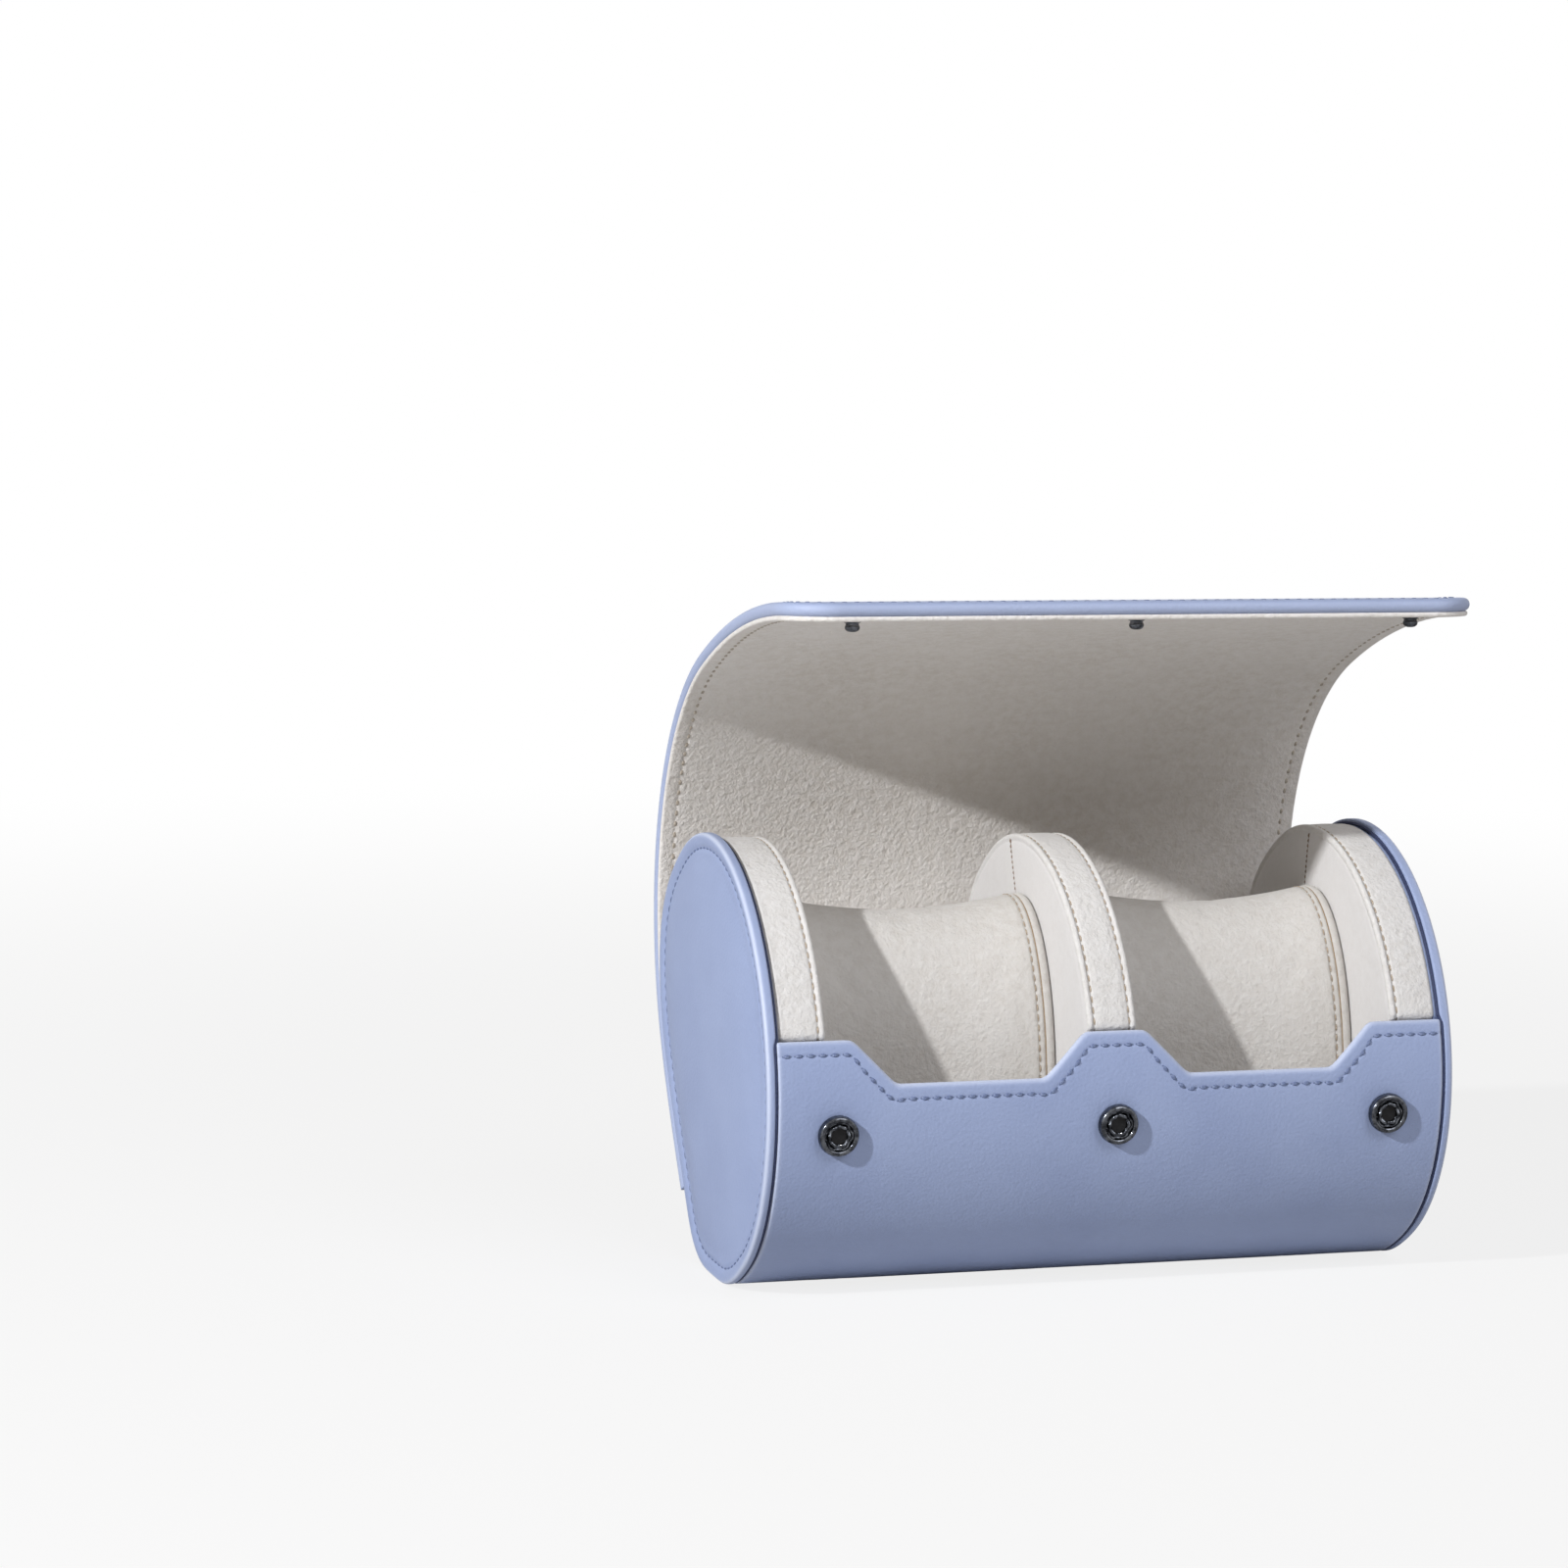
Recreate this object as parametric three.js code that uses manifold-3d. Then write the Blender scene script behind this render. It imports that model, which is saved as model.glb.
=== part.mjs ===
// A travel watch roll: a padded leather barrel with two end caps, a divider,
// two watch cushions that lift out, and a flap that wraps over the mouth and
// snaps to the front. It is shown open. Units are millimetres, +Z is up.
// The roll's axis runs along X, its front looks along -Y, and the origin is
// the middle of the strip that it stands on.

import * as THREE from 'three';
import { mergeVertices } from 'three/addons/utils/BufferGeometryUtils.js';
import Module from 'manifold-3d';

const wasm = await Module();
wasm.setup();

// Barrel: the section is D-shaped, and its flat back looks back and down
const ROLL_LENGTH = 168.4;
const SECTION_HALF_LENGTH = 53.7;
const SECTION_FRONT_DEPTH = 47.5;
const SECTION_BACK_DEPTH = 39.1;
const SECTION_LEAN_DEGREES = 34;
const BACK_SQUARENESS = 2.7;
const AXIS_HEIGHT = 52.2;
const BASE_STRIP_WIDTH = 28;
const AXIS_SETBACK_DEPTH = 3;
const CORNER_SOFTENING_LENGTH = 4;

// Wrap: leather outside, board in the middle, suede lining inside
const LEATHER_THICKNESS = 1.0;
const WRAP_BOARD_THICKNESS = 1.0;
const LINING_THICKNESS = 0.8;
const GLUE_GAP = 0.2;
const FIT_GAP = 0.3;
const TAB_HEIGHT = 64.2;
const NOTCH_HEIGHT = 53.7;
const CENTRE_TAB_HALF_WIDTH = 7.5;
const TAB_SLOPE_WIDTH = 10;
const END_TAB_WIDTH = 18.5;
const EDGE_TURN_IN_HEIGHT = 3;
const LINING_SETBACK_WIDTH = 0.5;

// End caps: a rolled rim, a padded dome, and a board behind it
const RIM_WIDTH = 2;
const CAP_DEPTH = 3.9;
const CAP_DOME_HEIGHT = 2.4;
const CAP_BOARD_THICKNESS = 2;
const CAP_SKIN_THICKNESS = 1;
const RIM_RADIUS = 0.9;
const DOME_GROOVE_DEPTH = 4.5;

// Padded discs: one against each cap, one in the middle
const WALL_PAD_THICKNESS = 10.7;
const DIVIDER_THICKNESS = 12;
const PAD_SKIN_THICKNESS = 0.9;
const PAD_BELOW_RIM_DEPTH = 1.4;
const PAD_EDGE_RADIUS = 1.6;
const DIVIDER_BOARD_THICKNESS = 2.4;
const SEAT_RAMP_LENGTH = 24;

// Cushions: an oval suede sleeve on a foam core, with an end panel each side
const CUSHION_HALF_DEPTH = 24;
const CUSHION_HEIGHT = 84;
const CUSHION_SET_FORWARD_DEPTH = 0.5;
const CUSHION_LEAN_DEGREES = 5;
const CUSHION_WAIST_DEPTH = 2.2;
const CUSHION_SIDE_GAP = 0.5;
const CUSHION_SKIN_THICKNESS = 1.2;
const CUSHION_END_THICKNESS = 2;
const CUSHION_END_STEP_WIDTH = 1.2;
const CUSHION_SQUARENESS = 2.05;

// Flap: the same three layers. A root lies against the back, and six strips
// that are hinged in a row bend together.
const FLAP_SIDE_GAP = 0.7;
const FLAP_LEATHER_THICKNESS = 1.2;
const FLAP_BOARD_THICKNESS = 1.2;
const FLAP_LINING_THICKNESS = 1.4;
const FLAP_CORNER_RADIUS = 12;
const FLAP_ROOT_LENGTH = 28;
const FLAP_FIXED_SHARE = 0.1291;
const FLAP_ROUND_SHARE = 0.6258;
const HINGE_UP_BACK_SHARE = 0.2;
const HINGE_CUT_GAP = 0.12;
// Radii and lengths are shares of the flap's length, which goes that share
// of the way round the barrel
const FLAP_BENDS = [
  { radiusShare: 0.7595, lengthShare: 0.0582 },
  { radiusShare: 0.3848, lengthShare: 0.2 },
  { radiusShare: 0.3392, lengthShare: 0.1266 },
  { radiusShare: 0.3241, lengthShare: 0.2228 },
  { radiusShare: 0.9165, lengthShare: 0.3924 },
];
const FLAP_STRIPS = [
  { lengthShare: 0.0952, turnDegrees: 17.5 },
  { lengthShare: 0.1544, turnDegrees: 20.5 },
  { lengthShare: 0.2, turnDegrees: 14 },
  { lengthShare: 0.1337, turnDegrees: 12 },
  { lengthShare: 0.1691, turnDegrees: 18.5 },
  { lengthShare: 0.1185, turnDegrees: 16 },
];

// Snaps: three sockets on the front, three studs inside the flap's edge
const SNAP_FROM_END_LENGTH = 16.7;
const SOCKET_ABOVE_BASE_HEIGHT = 42.5;
const SOCKET_RADIUS = 4.8;
const SOCKET_BORE_RADIUS = 3;
const SOCKET_RISE_HEIGHT = 1.5;
const SOCKET_FLOOR_THICKNESS = 0.4;
const SOCKET_SHANK_RADIUS = 1.9;
const STUD_RADIUS = 1.75;
const STUD_RISE_HEIGHT = 2.2;
const STUD_SHANK_RADIUS = 1.1;
const STUD_FROM_EDGE_LENGTH = 6;
const WASHER_RADIUS = 3;
const WASHER_THICKNESS = 0.6;
const SNAP_GAP = 0.3;

// Mesh fineness, in counts
const SECTION_SAMPLES = 900;
const DISC_SIDES = 44;
const CUSHION_SIDES = 36;
const SNAP_SIDES = 12;
const EDGE_ROWS = 3;
const ROOT_ROWS = 5;
const FLAP_ROWS = 34;
const BEND_SAMPLES = 60;

// Materials
const leather = new THREE.MeshStandardMaterial({ color: 0x929fc6, roughness: 0.55, metalness: 0 });
const suede = new THREE.MeshStandardMaterial({ color: 0xd9d6cf, roughness: 0.95, metalness: 0 });
const board = new THREE.MeshStandardMaterial({ color: 0xa08f78, roughness: 0.9, metalness: 0 });
const foam = new THREE.MeshStandardMaterial({ color: 0xe9e4d6, roughness: 1, metalness: 0 });
const snapMetal = new THREE.MeshStandardMaterial({ color: 0x34363d, roughness: 0.3, metalness: 1 });

const { abs, atan2, ceil, cos, floor, hypot, max, min, PI, round, sign, sin, sqrt, tan } = Math;
const HALF_LENGTH = ROLL_LENGTH / 2;
const WRAP_END = HALF_LENGTH - RIM_WIDTH - GLUE_GAP;
const CAP_INNER = HALF_LENGTH - CAP_DEPTH;
const WRAP_THICKNESS = LEATHER_THICKNESS + WRAP_BOARD_THICKNESS + LINING_THICKNESS + GLUE_GAP * 2;
const lean = THREE.MathUtils.degToRad(SECTION_LEAN_DEGREES);
const alongBack = new THREE.Vector2(sin(lean), cos(lean));
const outOfBack = new THREE.Vector2(cos(lean), -sin(lean));

// The D: half an ellipse in front, half a squared ellipse behind.
// Points hold (y, z) from the axis and run down the back, forward and up.
function dSectionPoint(turn) {
  const c = cos(turn);
  const s = sin(turn);
  const squared = (v) => sign(v) * abs(v) ** (2 / BACK_SQUARENESS);
  const up = SECTION_HALF_LENGTH * (s > 0 ? c : squared(c));
  const out = s > 0 ? -SECTION_FRONT_DEPTH * s : -SECTION_BACK_DEPTH * squared(s);
  return alongBack.clone().multiplyScalar(up).addScaledVector(outOfBack, out);
}

function convexOutline(points) {
  const sorted = [...points].sort((a, b) => a.x - b.x || a.y - b.y);
  const turn = (o, a, b) => (a.x - o.x) * (b.y - o.y) - (a.y - o.y) * (b.x - o.x);
  const chain = (list) => {
    const kept = [];
    for (const p of list) {
      while (kept.length > 1 && turn(kept.at(-2), kept.at(-1), p) <= 0) kept.pop();
      kept.push(p);
    }
    return kept.slice(0, -1);
  };
  return [...chain(sorted), ...chain(sorted.reverse())];
}

// Equal steps round a closed outline, the first at the point nearest to start
function evenSteps(points, count, start) {
  const lengths = [0];
  points.forEach((p, i) => {
    lengths.push(lengths[i] + p.distanceTo(points[(i + 1) % points.length]));
  });
  const total = lengths.at(-1);
  const at = (length) => {
    const wrapped = ((length % total) + total) % total;
    let i = lengths.findIndex((l) => l > wrapped) - 1;
    if (i < 0) i = points.length - 1;
    const share = (wrapped - lengths[i]) / (lengths[i + 1] - lengths[i]);
    return points[i].clone().lerp(points[(i + 1) % points.length], share);
  };
  let from = 0;
  for (let i = 0; i < count; i += 1) {
    const length = (total * i) / count;
    if (at(length).distanceTo(start) < at(from).distanceTo(start)) from = length;
  }
  return Array.from({ length: count }, (_, i) => at(from + (total * i) / count));
}

// The barrel's outline, flat under the base strip and with softened corners.
// at(s) gives a point of it, s millimetres down the back from the hinge line,
// with the way out of it.
function makeOutline() {
  const baseBack = BASE_STRIP_WIDTH / 2 - AXIS_SETBACK_DEPTH;
  const base = [baseBack - BASE_STRIP_WIDTH, baseBack].map((y) => new THREE.Vector2(y, -AXIS_HEIGHT));
  const section = Array.from({ length: SECTION_SAMPLES }, (_, i) => (
    dSectionPoint((2 * PI * i) / SECTION_SAMPLES)
  )).map((p) => new THREE.Vector2(p.x, max(p.y, -AXIS_HEIGHT)));
  const up = SECTION_HALF_LENGTH * HINGE_UP_BACK_SHARE;
  const out = SECTION_BACK_DEPTH * (1 - HINGE_UP_BACK_SHARE ** BACK_SQUARENESS) ** (1 / BACK_SQUARENESS);
  const hinge = alongBack.clone().multiplyScalar(up).addScaledVector(outOfBack, out);
  const hull = convexOutline([...section, ...base]).reverse();
  const even = evenSteps(hull, SECTION_SAMPLES, hinge);
  const step = even[0].distanceTo(even[1]);
  const reach = round(CORNER_SOFTENING_LENGTH / step);
  const soft = even.map((_, i) => {
    const sum = new THREE.Vector2();
    for (let k = -reach; k <= reach; k += 1) {
      sum.add(even[(i + k + SECTION_SAMPLES) % SECTION_SAMPLES]);
    }
    return sum.divideScalar(2 * reach + 1);
  });
  const ways = soft.map((_, i) => {
    const before = soft[(i + SECTION_SAMPLES - 1) % SECTION_SAMPLES];
    const after = soft[(i + 1) % SECTION_SAMPLES];
    return new THREE.Vector2(before.y - after.y, after.x - before.x).normalize();
  });
  if (ways[0].dot(soft[0]) < 0) ways.forEach((w) => w.negate());
  const length = soft.reduce((sum, p, i) => sum + p.distanceTo(soft[(i + 1) % SECTION_SAMPLES]), 0);
  const at = (s) => {
    const place = ((s / length) * SECTION_SAMPLES + SECTION_SAMPLES * 2) % SECTION_SAMPLES;
    const i = floor(place);
    const next = (i + 1) % SECTION_SAMPLES;
    const point = soft[i].clone().lerp(soft[next], place - i);
    const way = ways[i].clone().lerp(ways[next], place - i).normalize();
    return {
      y: point.x + AXIS_SETBACK_DEPTH, z: point.y + AXIS_HEIGHT, outY: way.x, outZ: way.y,
    };
  };
  return { length, at };
}

const outline = makeOutline();

// Where the front of the outline passes a height
function frontStation(height) {
  const steps = Array.from({ length: SECTION_SAMPLES }, (_, i) => (outline.length * i) / SECTION_SAMPLES);
  const front = steps.filter((s) => outline.at(s).y < 0 && s > outline.length / 4);
  return front.reduce((best, s) => (
    abs(outline.at(s).z - height) < abs(outline.at(best).z - height) ? s : best
  ));
}

const TAB_STATION = frontStation(TAB_HEIGHT);
const NOTCH_STATION = frontStation(NOTCH_HEIGHT);
const SOCKET_STATION = frontStation(SOCKET_ABOVE_BASE_HEIGHT);

// A point out of the outline (or in, where out is negative) at x
function onOutline(s, out, x) {
  const { y, z, outY, outZ } = outline.at(s);
  return new THREE.Vector3(x, y + outY * out, z + outZ * out);
}

// Geometry from vertices and faces, its faces turned outwards
function closedGeometry(vertices, faces) {
  const volume = faces.reduce((sum, [a, b, c]) => (
    sum + vertices[a].dot(new THREE.Vector3().crossVectors(vertices[b], vertices[c]))
  ), 0);
  const geometry = new THREE.BufferGeometry();
  geometry.setAttribute('position', new THREE.Float32BufferAttribute(
    vertices.flatMap((v) => [v.x, v.y, v.z]), 3,
  ));
  geometry.setIndex(faces.flatMap(([a, b, c]) => (volume > 0 ? [a, b, c] : [a, c, b])));
  return geometry;
}

// A sheet with thickness. point(i, j, side) gives its outer (side 0) and
// inner (side 1) vertices on a grid of rows and columns.
function slab(rows, columns, point) {
  const vertices = [];
  const faces = [];
  const id = (i, j, side) => (side * (rows + 1) + i) * (columns + 1) + j;
  for (const side of [0, 1]) {
    for (let i = 0; i <= rows; i += 1) {
      for (let j = 0; j <= columns; j += 1) vertices.push(point(i, j, side));
    }
  }
  const quad = (a, b, c, d) => faces.push([a, b, c], [a, c, d]);
  for (let i = 0; i < rows; i += 1) {
    for (let j = 0; j < columns; j += 1) {
      quad(id(i, j, 0), id(i + 1, j, 0), id(i + 1, j + 1, 0), id(i, j + 1, 0));
      quad(id(i, j, 1), id(i, j + 1, 1), id(i + 1, j + 1, 1), id(i + 1, j, 1));
    }
    quad(id(i, 0, 0), id(i, 0, 1), id(i + 1, 0, 1), id(i + 1, 0, 0));
    quad(id(i, columns, 0), id(i + 1, columns, 0), id(i + 1, columns, 1), id(i, columns, 1));
  }
  for (let j = 0; j < columns; j += 1) {
    quad(id(0, j, 0), id(0, j + 1, 0), id(0, j + 1, 1), id(0, j, 1));
    quad(id(rows, j, 0), id(rows, j, 1), id(rows, j + 1, 1), id(rows, j + 1, 0));
  }
  return closedGeometry(vertices, faces);
}

// A body from a row of rings. Its ends close on their centres, or the last
// ring joins the first, as on a sleeve.
function ringBody(rings, joined = false) {
  const sides = rings[0].length;
  const vertices = rings.flat();
  const faces = [];
  const last = joined ? rings.length : rings.length - 1;
  for (let r = 0; r < last; r += 1) {
    const here = r * sides;
    const there = ((r + 1) % rings.length) * sides;
    for (let k = 0; k < sides; k += 1) {
      const next = (k + 1) % sides;
      faces.push([here + k, here + next, there + next], [here + k, there + next, there + k]);
    }
  }
  if (!joined) {
    for (const [ring, flip] of [[0, true], [rings.length - 1, false]]) {
      const centre = rings[ring].reduce((sum, v) => sum.add(v), new THREE.Vector3()).divideScalar(sides);
      const middle = vertices.push(centre) - 1;
      for (let k = 0; k < sides; k += 1) {
        const a = ring * sides + k;
        const b = ring * sides + ((k + 1) % sides);
        faces.push(flip ? [middle, b, a] : [middle, a, b]);
      }
    }
  }
  return closedGeometry(vertices, faces);
}

// Manifold solids for cuts
function toSolid(geometry) {
  const bare = geometry.clone();
  bare.deleteAttribute('normal');
  bare.deleteAttribute('uv');
  const merged = mergeVertices(bare);
  return new wasm.Manifold(new wasm.Mesh({
    numProp: 3,
    vertProperties: Float32Array.from(merged.attributes.position.array),
    triVerts: Uint32Array.from(merged.index.array),
  }));
}

function cutAway(geometry, tools) {
  const left = tools.reduce((solid, tool) => solid.subtract(toSolid(tool)), toSolid(geometry));
  const { vertProperties, triVerts } = left.getMesh();
  const result = new THREE.BufferGeometry();
  result.setAttribute('position', new THREE.Float32BufferAttribute(vertProperties, 3));
  result.setIndex(Array.from(triVerts));
  return result;
}

const part = new THREE.Group();

function add(name, geometry, material, place = null) {
  const mesh = new THREE.Mesh(geometry, material);
  mesh.name = name;
  if (place) {
    mesh.position.copy(place.position);
    mesh.quaternion.copy(place.quaternion);
  }
  part.add(mesh);
}

// Wrap

const notchStart = CENTRE_TAB_HALF_WIDTH + TAB_SLOPE_WIDTH;
const endTabStart = WRAP_END - END_TAB_WIDTH;
const notchEnd = endTabStart - TAB_SLOPE_WIDTH;
const halfColumns = [CENTRE_TAB_HALF_WIDTH, notchStart, notchEnd, endTabStart, WRAP_END];
const wrapColumns = [...halfColumns.map((x) => -x).reverse(), ...halfColumns];

// The scalloped front edge: high at the tabs, low at the notches
function edgeStation(x) {
  const inward = min(max((abs(x) - CENTRE_TAB_HALF_WIDTH) / TAB_SLOPE_WIDTH, 0), 1);
  const outward = min(max((endTabStart - abs(x)) / TAB_SLOPE_WIDTH, 0), 1);
  return TAB_STATION + (NOTCH_STATION - TAB_STATION) * min(inward, outward);
}

// The wrap bends at the same stations as the discs inside it, so that the
// flats between them stay parallel
const stationStep = outline.length / DISC_SIDES;
const straightEnd = NOTCH_STATION - EDGE_TURN_IN_HEIGHT;
const bends = floor((straightEnd - EDGE_TURN_IN_HEIGHT / 2) / stationStep);
const wrapStations = [...Array.from({ length: bends + 1 }, (_, k) => k * stationStep), straightEnd];

function wrapLayer(outer, thickness, edgeStep) {
  const straightRows = wrapStations.length - 1;
  return slab(straightRows + EDGE_ROWS, wrapColumns.length - 1, (i, j, side) => {
    const x = wrapColumns[j];
    const rise = edgeStation(x) - edgeStep - straightEnd;
    const edgeShare = max(i - straightRows, 0) / EDGE_ROWS;
    const s = wrapStations[min(i, straightRows)] + rise * edgeShare;
    return onOutline(s, -(outer + thickness * side), x);
  });
}

function wrapBoard(outer) {
  return slab(wrapStations.length - 1, 1, (i, j, side) => (
    onOutline(wrapStations[i], -(outer + WRAP_BOARD_THICKNESS * side), (j ? 1 : -1) * WRAP_END)
  ));
}

const boardDepth = LEATHER_THICKNESS + GLUE_GAP;
const liningDepth = boardDepth + WRAP_BOARD_THICKNESS + GLUE_GAP;

// A cylinder across the wrap at a socket, from the outline outwards
function socketPlace(x) {
  const { outY, outZ } = outline.at(SOCKET_STATION);
  const quaternion = new THREE.Quaternion().setFromUnitVectors(
    new THREE.Vector3(0, 1, 0), new THREE.Vector3(0, outY, outZ),
  );
  return { position: onOutline(SOCKET_STATION, 0, x), quaternion };
}

function hole(place, radius, length, sides = SNAP_SIDES) {
  const tool = new THREE.CylinderGeometry(radius, radius, length, sides);
  tool.applyQuaternion(place.quaternion);
  tool.translate(place.position.x, place.position.y, place.position.z);
  return tool;
}

const snapSpacing = HALF_LENGTH - SNAP_FROM_END_LENGTH;
const snapPlaces = { left: -snapSpacing, middle: 0, right: snapSpacing };
const socketPlaces = Object.values(snapPlaces).map(socketPlace);
const THROUGH = WRAP_THICKNESS * 4;

add('wrap_leather', cutAway(
  wrapLayer(0, LEATHER_THICKNESS, 0),
  socketPlaces.map((p) => hole(p, SOCKET_SHANK_RADIUS + SNAP_GAP, THROUGH)),
), leather);
add('wrap_board', cutAway(
  wrapBoard(boardDepth),
  socketPlaces.map((p) => hole(p, WASHER_RADIUS + SNAP_GAP, THROUGH)),
), board);
add('wrap_lining', wrapLayer(liningDepth, LINING_THICKNESS, LINING_SETBACK_WIDTH), suede);

// Discs and caps: rings on the outline, set in further where the wrap lies
// over them and nearer to the rim where the mouth is open

function seatDepth(s) {
  const fromFront = (s - TAB_STATION - stationStep) / SEAT_RAMP_LENGTH;
  const fromHinge = (outline.length - s) / SEAT_RAMP_LENGTH;
  const open = min(max(min(fromFront, fromHinge), 0), 1);
  const eased = open * open * (3 - 2 * open);
  const wrapped = WRAP_THICKNESS + FIT_GAP;
  return wrapped + (CAP_SKIN_THICKNESS / 2 - wrapped) * eased;
}

// share draws the ring towards the axis, 1 leaving it where it is
function discRing(x, inset, share = 1, sides = DISC_SIDES) {
  return Array.from({ length: sides }, (_, k) => {
    const s = (outline.length * k) / sides;
    const v = onOutline(s, -(typeof inset === 'function' ? inset(s) : inset), x);
    v.y = AXIS_SETBACK_DEPTH + (v.y - AXIS_SETBACK_DEPTH) * share;
    v.z = AXIS_HEIGHT + (v.z - AXIS_HEIGHT) * share;
    return v;
  });
}

const domeShares = [0.35, 0.7];
const domeHeight = (share) => CAP_DOME_HEIGHT * (1 - share ** 4);

function capLeather(end) {
  const seat = (extra) => (s) => seatDepth(s) + extra;
  const neckEnd = CAP_INNER + GLUE_GAP;
  const outerDome = domeShares.map((share) => (
    discRing(end * (HALF_LENGTH + domeHeight(share)), DOME_GROOVE_DEPTH, share)
  ));
  const innerDome = [...domeShares].reverse().map((share) => (
    discRing(end * (HALF_LENGTH - CAP_SKIN_THICKNESS + domeHeight(share)), DOME_GROOVE_DEPTH, share)
  ));
  return ringBody([
    ...outerDome,
    discRing(end * HALF_LENGTH, DOME_GROOVE_DEPTH),
    discRing(end * HALF_LENGTH, RIM_RADIUS),
    discRing(end * (HALF_LENGTH - RIM_RADIUS), 0),
    discRing(end * (HALF_LENGTH - RIM_WIDTH), 0),
    discRing(end * (HALF_LENGTH - RIM_WIDTH), seat(0)),
    discRing(end * neckEnd, seat(0)),
    discRing(end * neckEnd, seat(CAP_SKIN_THICKNESS)),
    discRing(end * (HALF_LENGTH - CAP_SKIN_THICKNESS), seat(CAP_SKIN_THICKNESS)),
    ...innerDome,
  ]);
}

function capFoam(end) {
  const inset = (s) => seatDepth(s) + CAP_SKIN_THICKNESS + GLUE_GAP;
  const inner = CAP_INNER + GLUE_GAP + CAP_BOARD_THICKNESS + GLUE_GAP;
  const outer = HALF_LENGTH - CAP_SKIN_THICKNESS - GLUE_GAP;
  const dome = [...domeShares].reverse().map((share) => (
    discRing(end * (outer + domeHeight(share)), DOME_GROOVE_DEPTH, share)
  ));
  return ringBody([
    discRing(end * inner, inset),
    discRing(end * outer, (s) => max(inset(s), DOME_GROOVE_DEPTH)),
    ...dome,
  ]);
}

function capBoard(end) {
  const inset = (s) => seatDepth(s) + CAP_SKIN_THICKNESS + GLUE_GAP;
  const inner = CAP_INNER + GLUE_GAP;
  return ringBody([discRing(end * inner, inset), discRing(end * (inner + CAP_BOARD_THICKNESS), inset)]);
}

// A suede cover like a shallow dish: open at back, its face at front
function dishCover(back, front, depth) {
  const way = sign(front - back);
  const inset = (extra) => (s) => seatDepth(s) + depth + extra;
  return ringBody([
    discRing(front, inset(PAD_EDGE_RADIUS * 2), domeShares[0]),
    discRing(front, inset(PAD_EDGE_RADIUS)),
    discRing(front - way * PAD_EDGE_RADIUS, inset(0)),
    discRing(back, inset(0)),
    discRing(back, inset(PAD_SKIN_THICKNESS)),
    discRing(front - way * (PAD_EDGE_RADIUS + PAD_SKIN_THICKNESS / 2), inset(PAD_SKIN_THICKNESS)),
    discRing(front - way * PAD_SKIN_THICKNESS, inset(PAD_EDGE_RADIUS + PAD_SKIN_THICKNESS)),
    discRing(front - way * PAD_SKIN_THICKNESS, inset(PAD_EDGE_RADIUS * 2), domeShares[0]),
  ]);
}

function dishFill(back, front, depth) {
  const way = sign(front - back);
  const inside = depth + PAD_SKIN_THICKNESS + GLUE_GAP;
  const inset = (extra) => (s) => seatDepth(s) + inside + extra;
  const face = front - way * (PAD_SKIN_THICKNESS + GLUE_GAP);
  return ringBody([
    discRing(back, inset(0)),
    discRing(face - way * PAD_EDGE_RADIUS, inset(0)),
    discRing(face, inset(PAD_EDGE_RADIUS)),
  ]);
}

const padBack = CAP_INNER - GLUE_GAP / 2;
const padFront = padBack - WALL_PAD_THICKNESS;

for (const [side, end] of [['left', -1], ['right', 1]]) {
  add(`${side}_cap_leather`, capLeather(end), leather);
  add(`${side}_cap_foam`, capFoam(end), foam);
  add(`${side}_cap_board`, capBoard(end), board);
  add(`${side}_wall_pad_cover`, dishCover(end * padBack, end * padFront, PAD_BELOW_RIM_DEPTH / 2), suede);
  add(`${side}_wall_pad_foam`, dishFill(end * padBack, end * padFront, PAD_BELOW_RIM_DEPTH / 2), foam);
}

for (const [side, end] of [['left', -1], ['right', 1]]) {
  const seam = (end * GLUE_GAP) / 2;
  const foamBack = end * (DIVIDER_BOARD_THICKNESS / 2 + GLUE_GAP);
  add(`divider_${side}_cover`, dishCover(seam, (end * DIVIDER_THICKNESS) / 2, PAD_BELOW_RIM_DEPTH), suede);
  add(`divider_${side}_foam`, dishFill(foamBack, (end * DIVIDER_THICKNESS) / 2, PAD_BELOW_RIM_DEPTH), foam);
}

const dividerInset = (s) => seatDepth(s) + PAD_BELOW_RIM_DEPTH + PAD_SKIN_THICKNESS + GLUE_GAP;
add('divider_board', ringBody(
  [-1, 1].map((end) => discRing((end * DIVIDER_BOARD_THICKNESS) / 2, dividerInset)),
), board);

// Cushions

const cushionInner = DIVIDER_THICKNESS / 2 + CUSHION_SIDE_GAP;
const cushionOuter = padFront - CUSHION_SIDE_GAP;
const cushionMiddle = (cushionInner + cushionOuter) / 2;
const cushionFloor = WRAP_THICKNESS + FIT_GAP;
const cushionLean = THREE.MathUtils.degToRad(CUSHION_LEAN_DEGREES);
const cushionReach = hypot((CUSHION_HEIGHT / 2) * cos(cushionLean), CUSHION_HALF_DEPTH * sin(cushionLean));
const cushionCentre = new THREE.Vector2(
  AXIS_SETBACK_DEPTH - CUSHION_SET_FORWARD_DEPTH, cushionFloor + cushionReach,
);

function ovalRing(x, inset) {
  const squared = (v) => sign(v) * abs(v) ** (2 / CUSHION_SQUARENESS);
  return Array.from({ length: CUSHION_SIDES }, (_, k) => {
    const turn = (2 * PI * k) / CUSHION_SIDES;
    const flatten = (CUSHION_HALF_DEPTH - inset) * squared(cos(turn));
    const rise = (CUSHION_HEIGHT / 2 - inset) * squared(sin(turn));
    const point = new THREE.Vector2(flatten, rise);
    point.rotateAround(new THREE.Vector2(), -cushionLean).add(cushionCentre);
    return new THREE.Vector3(x, point.x, point.y);
  });
}

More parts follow.
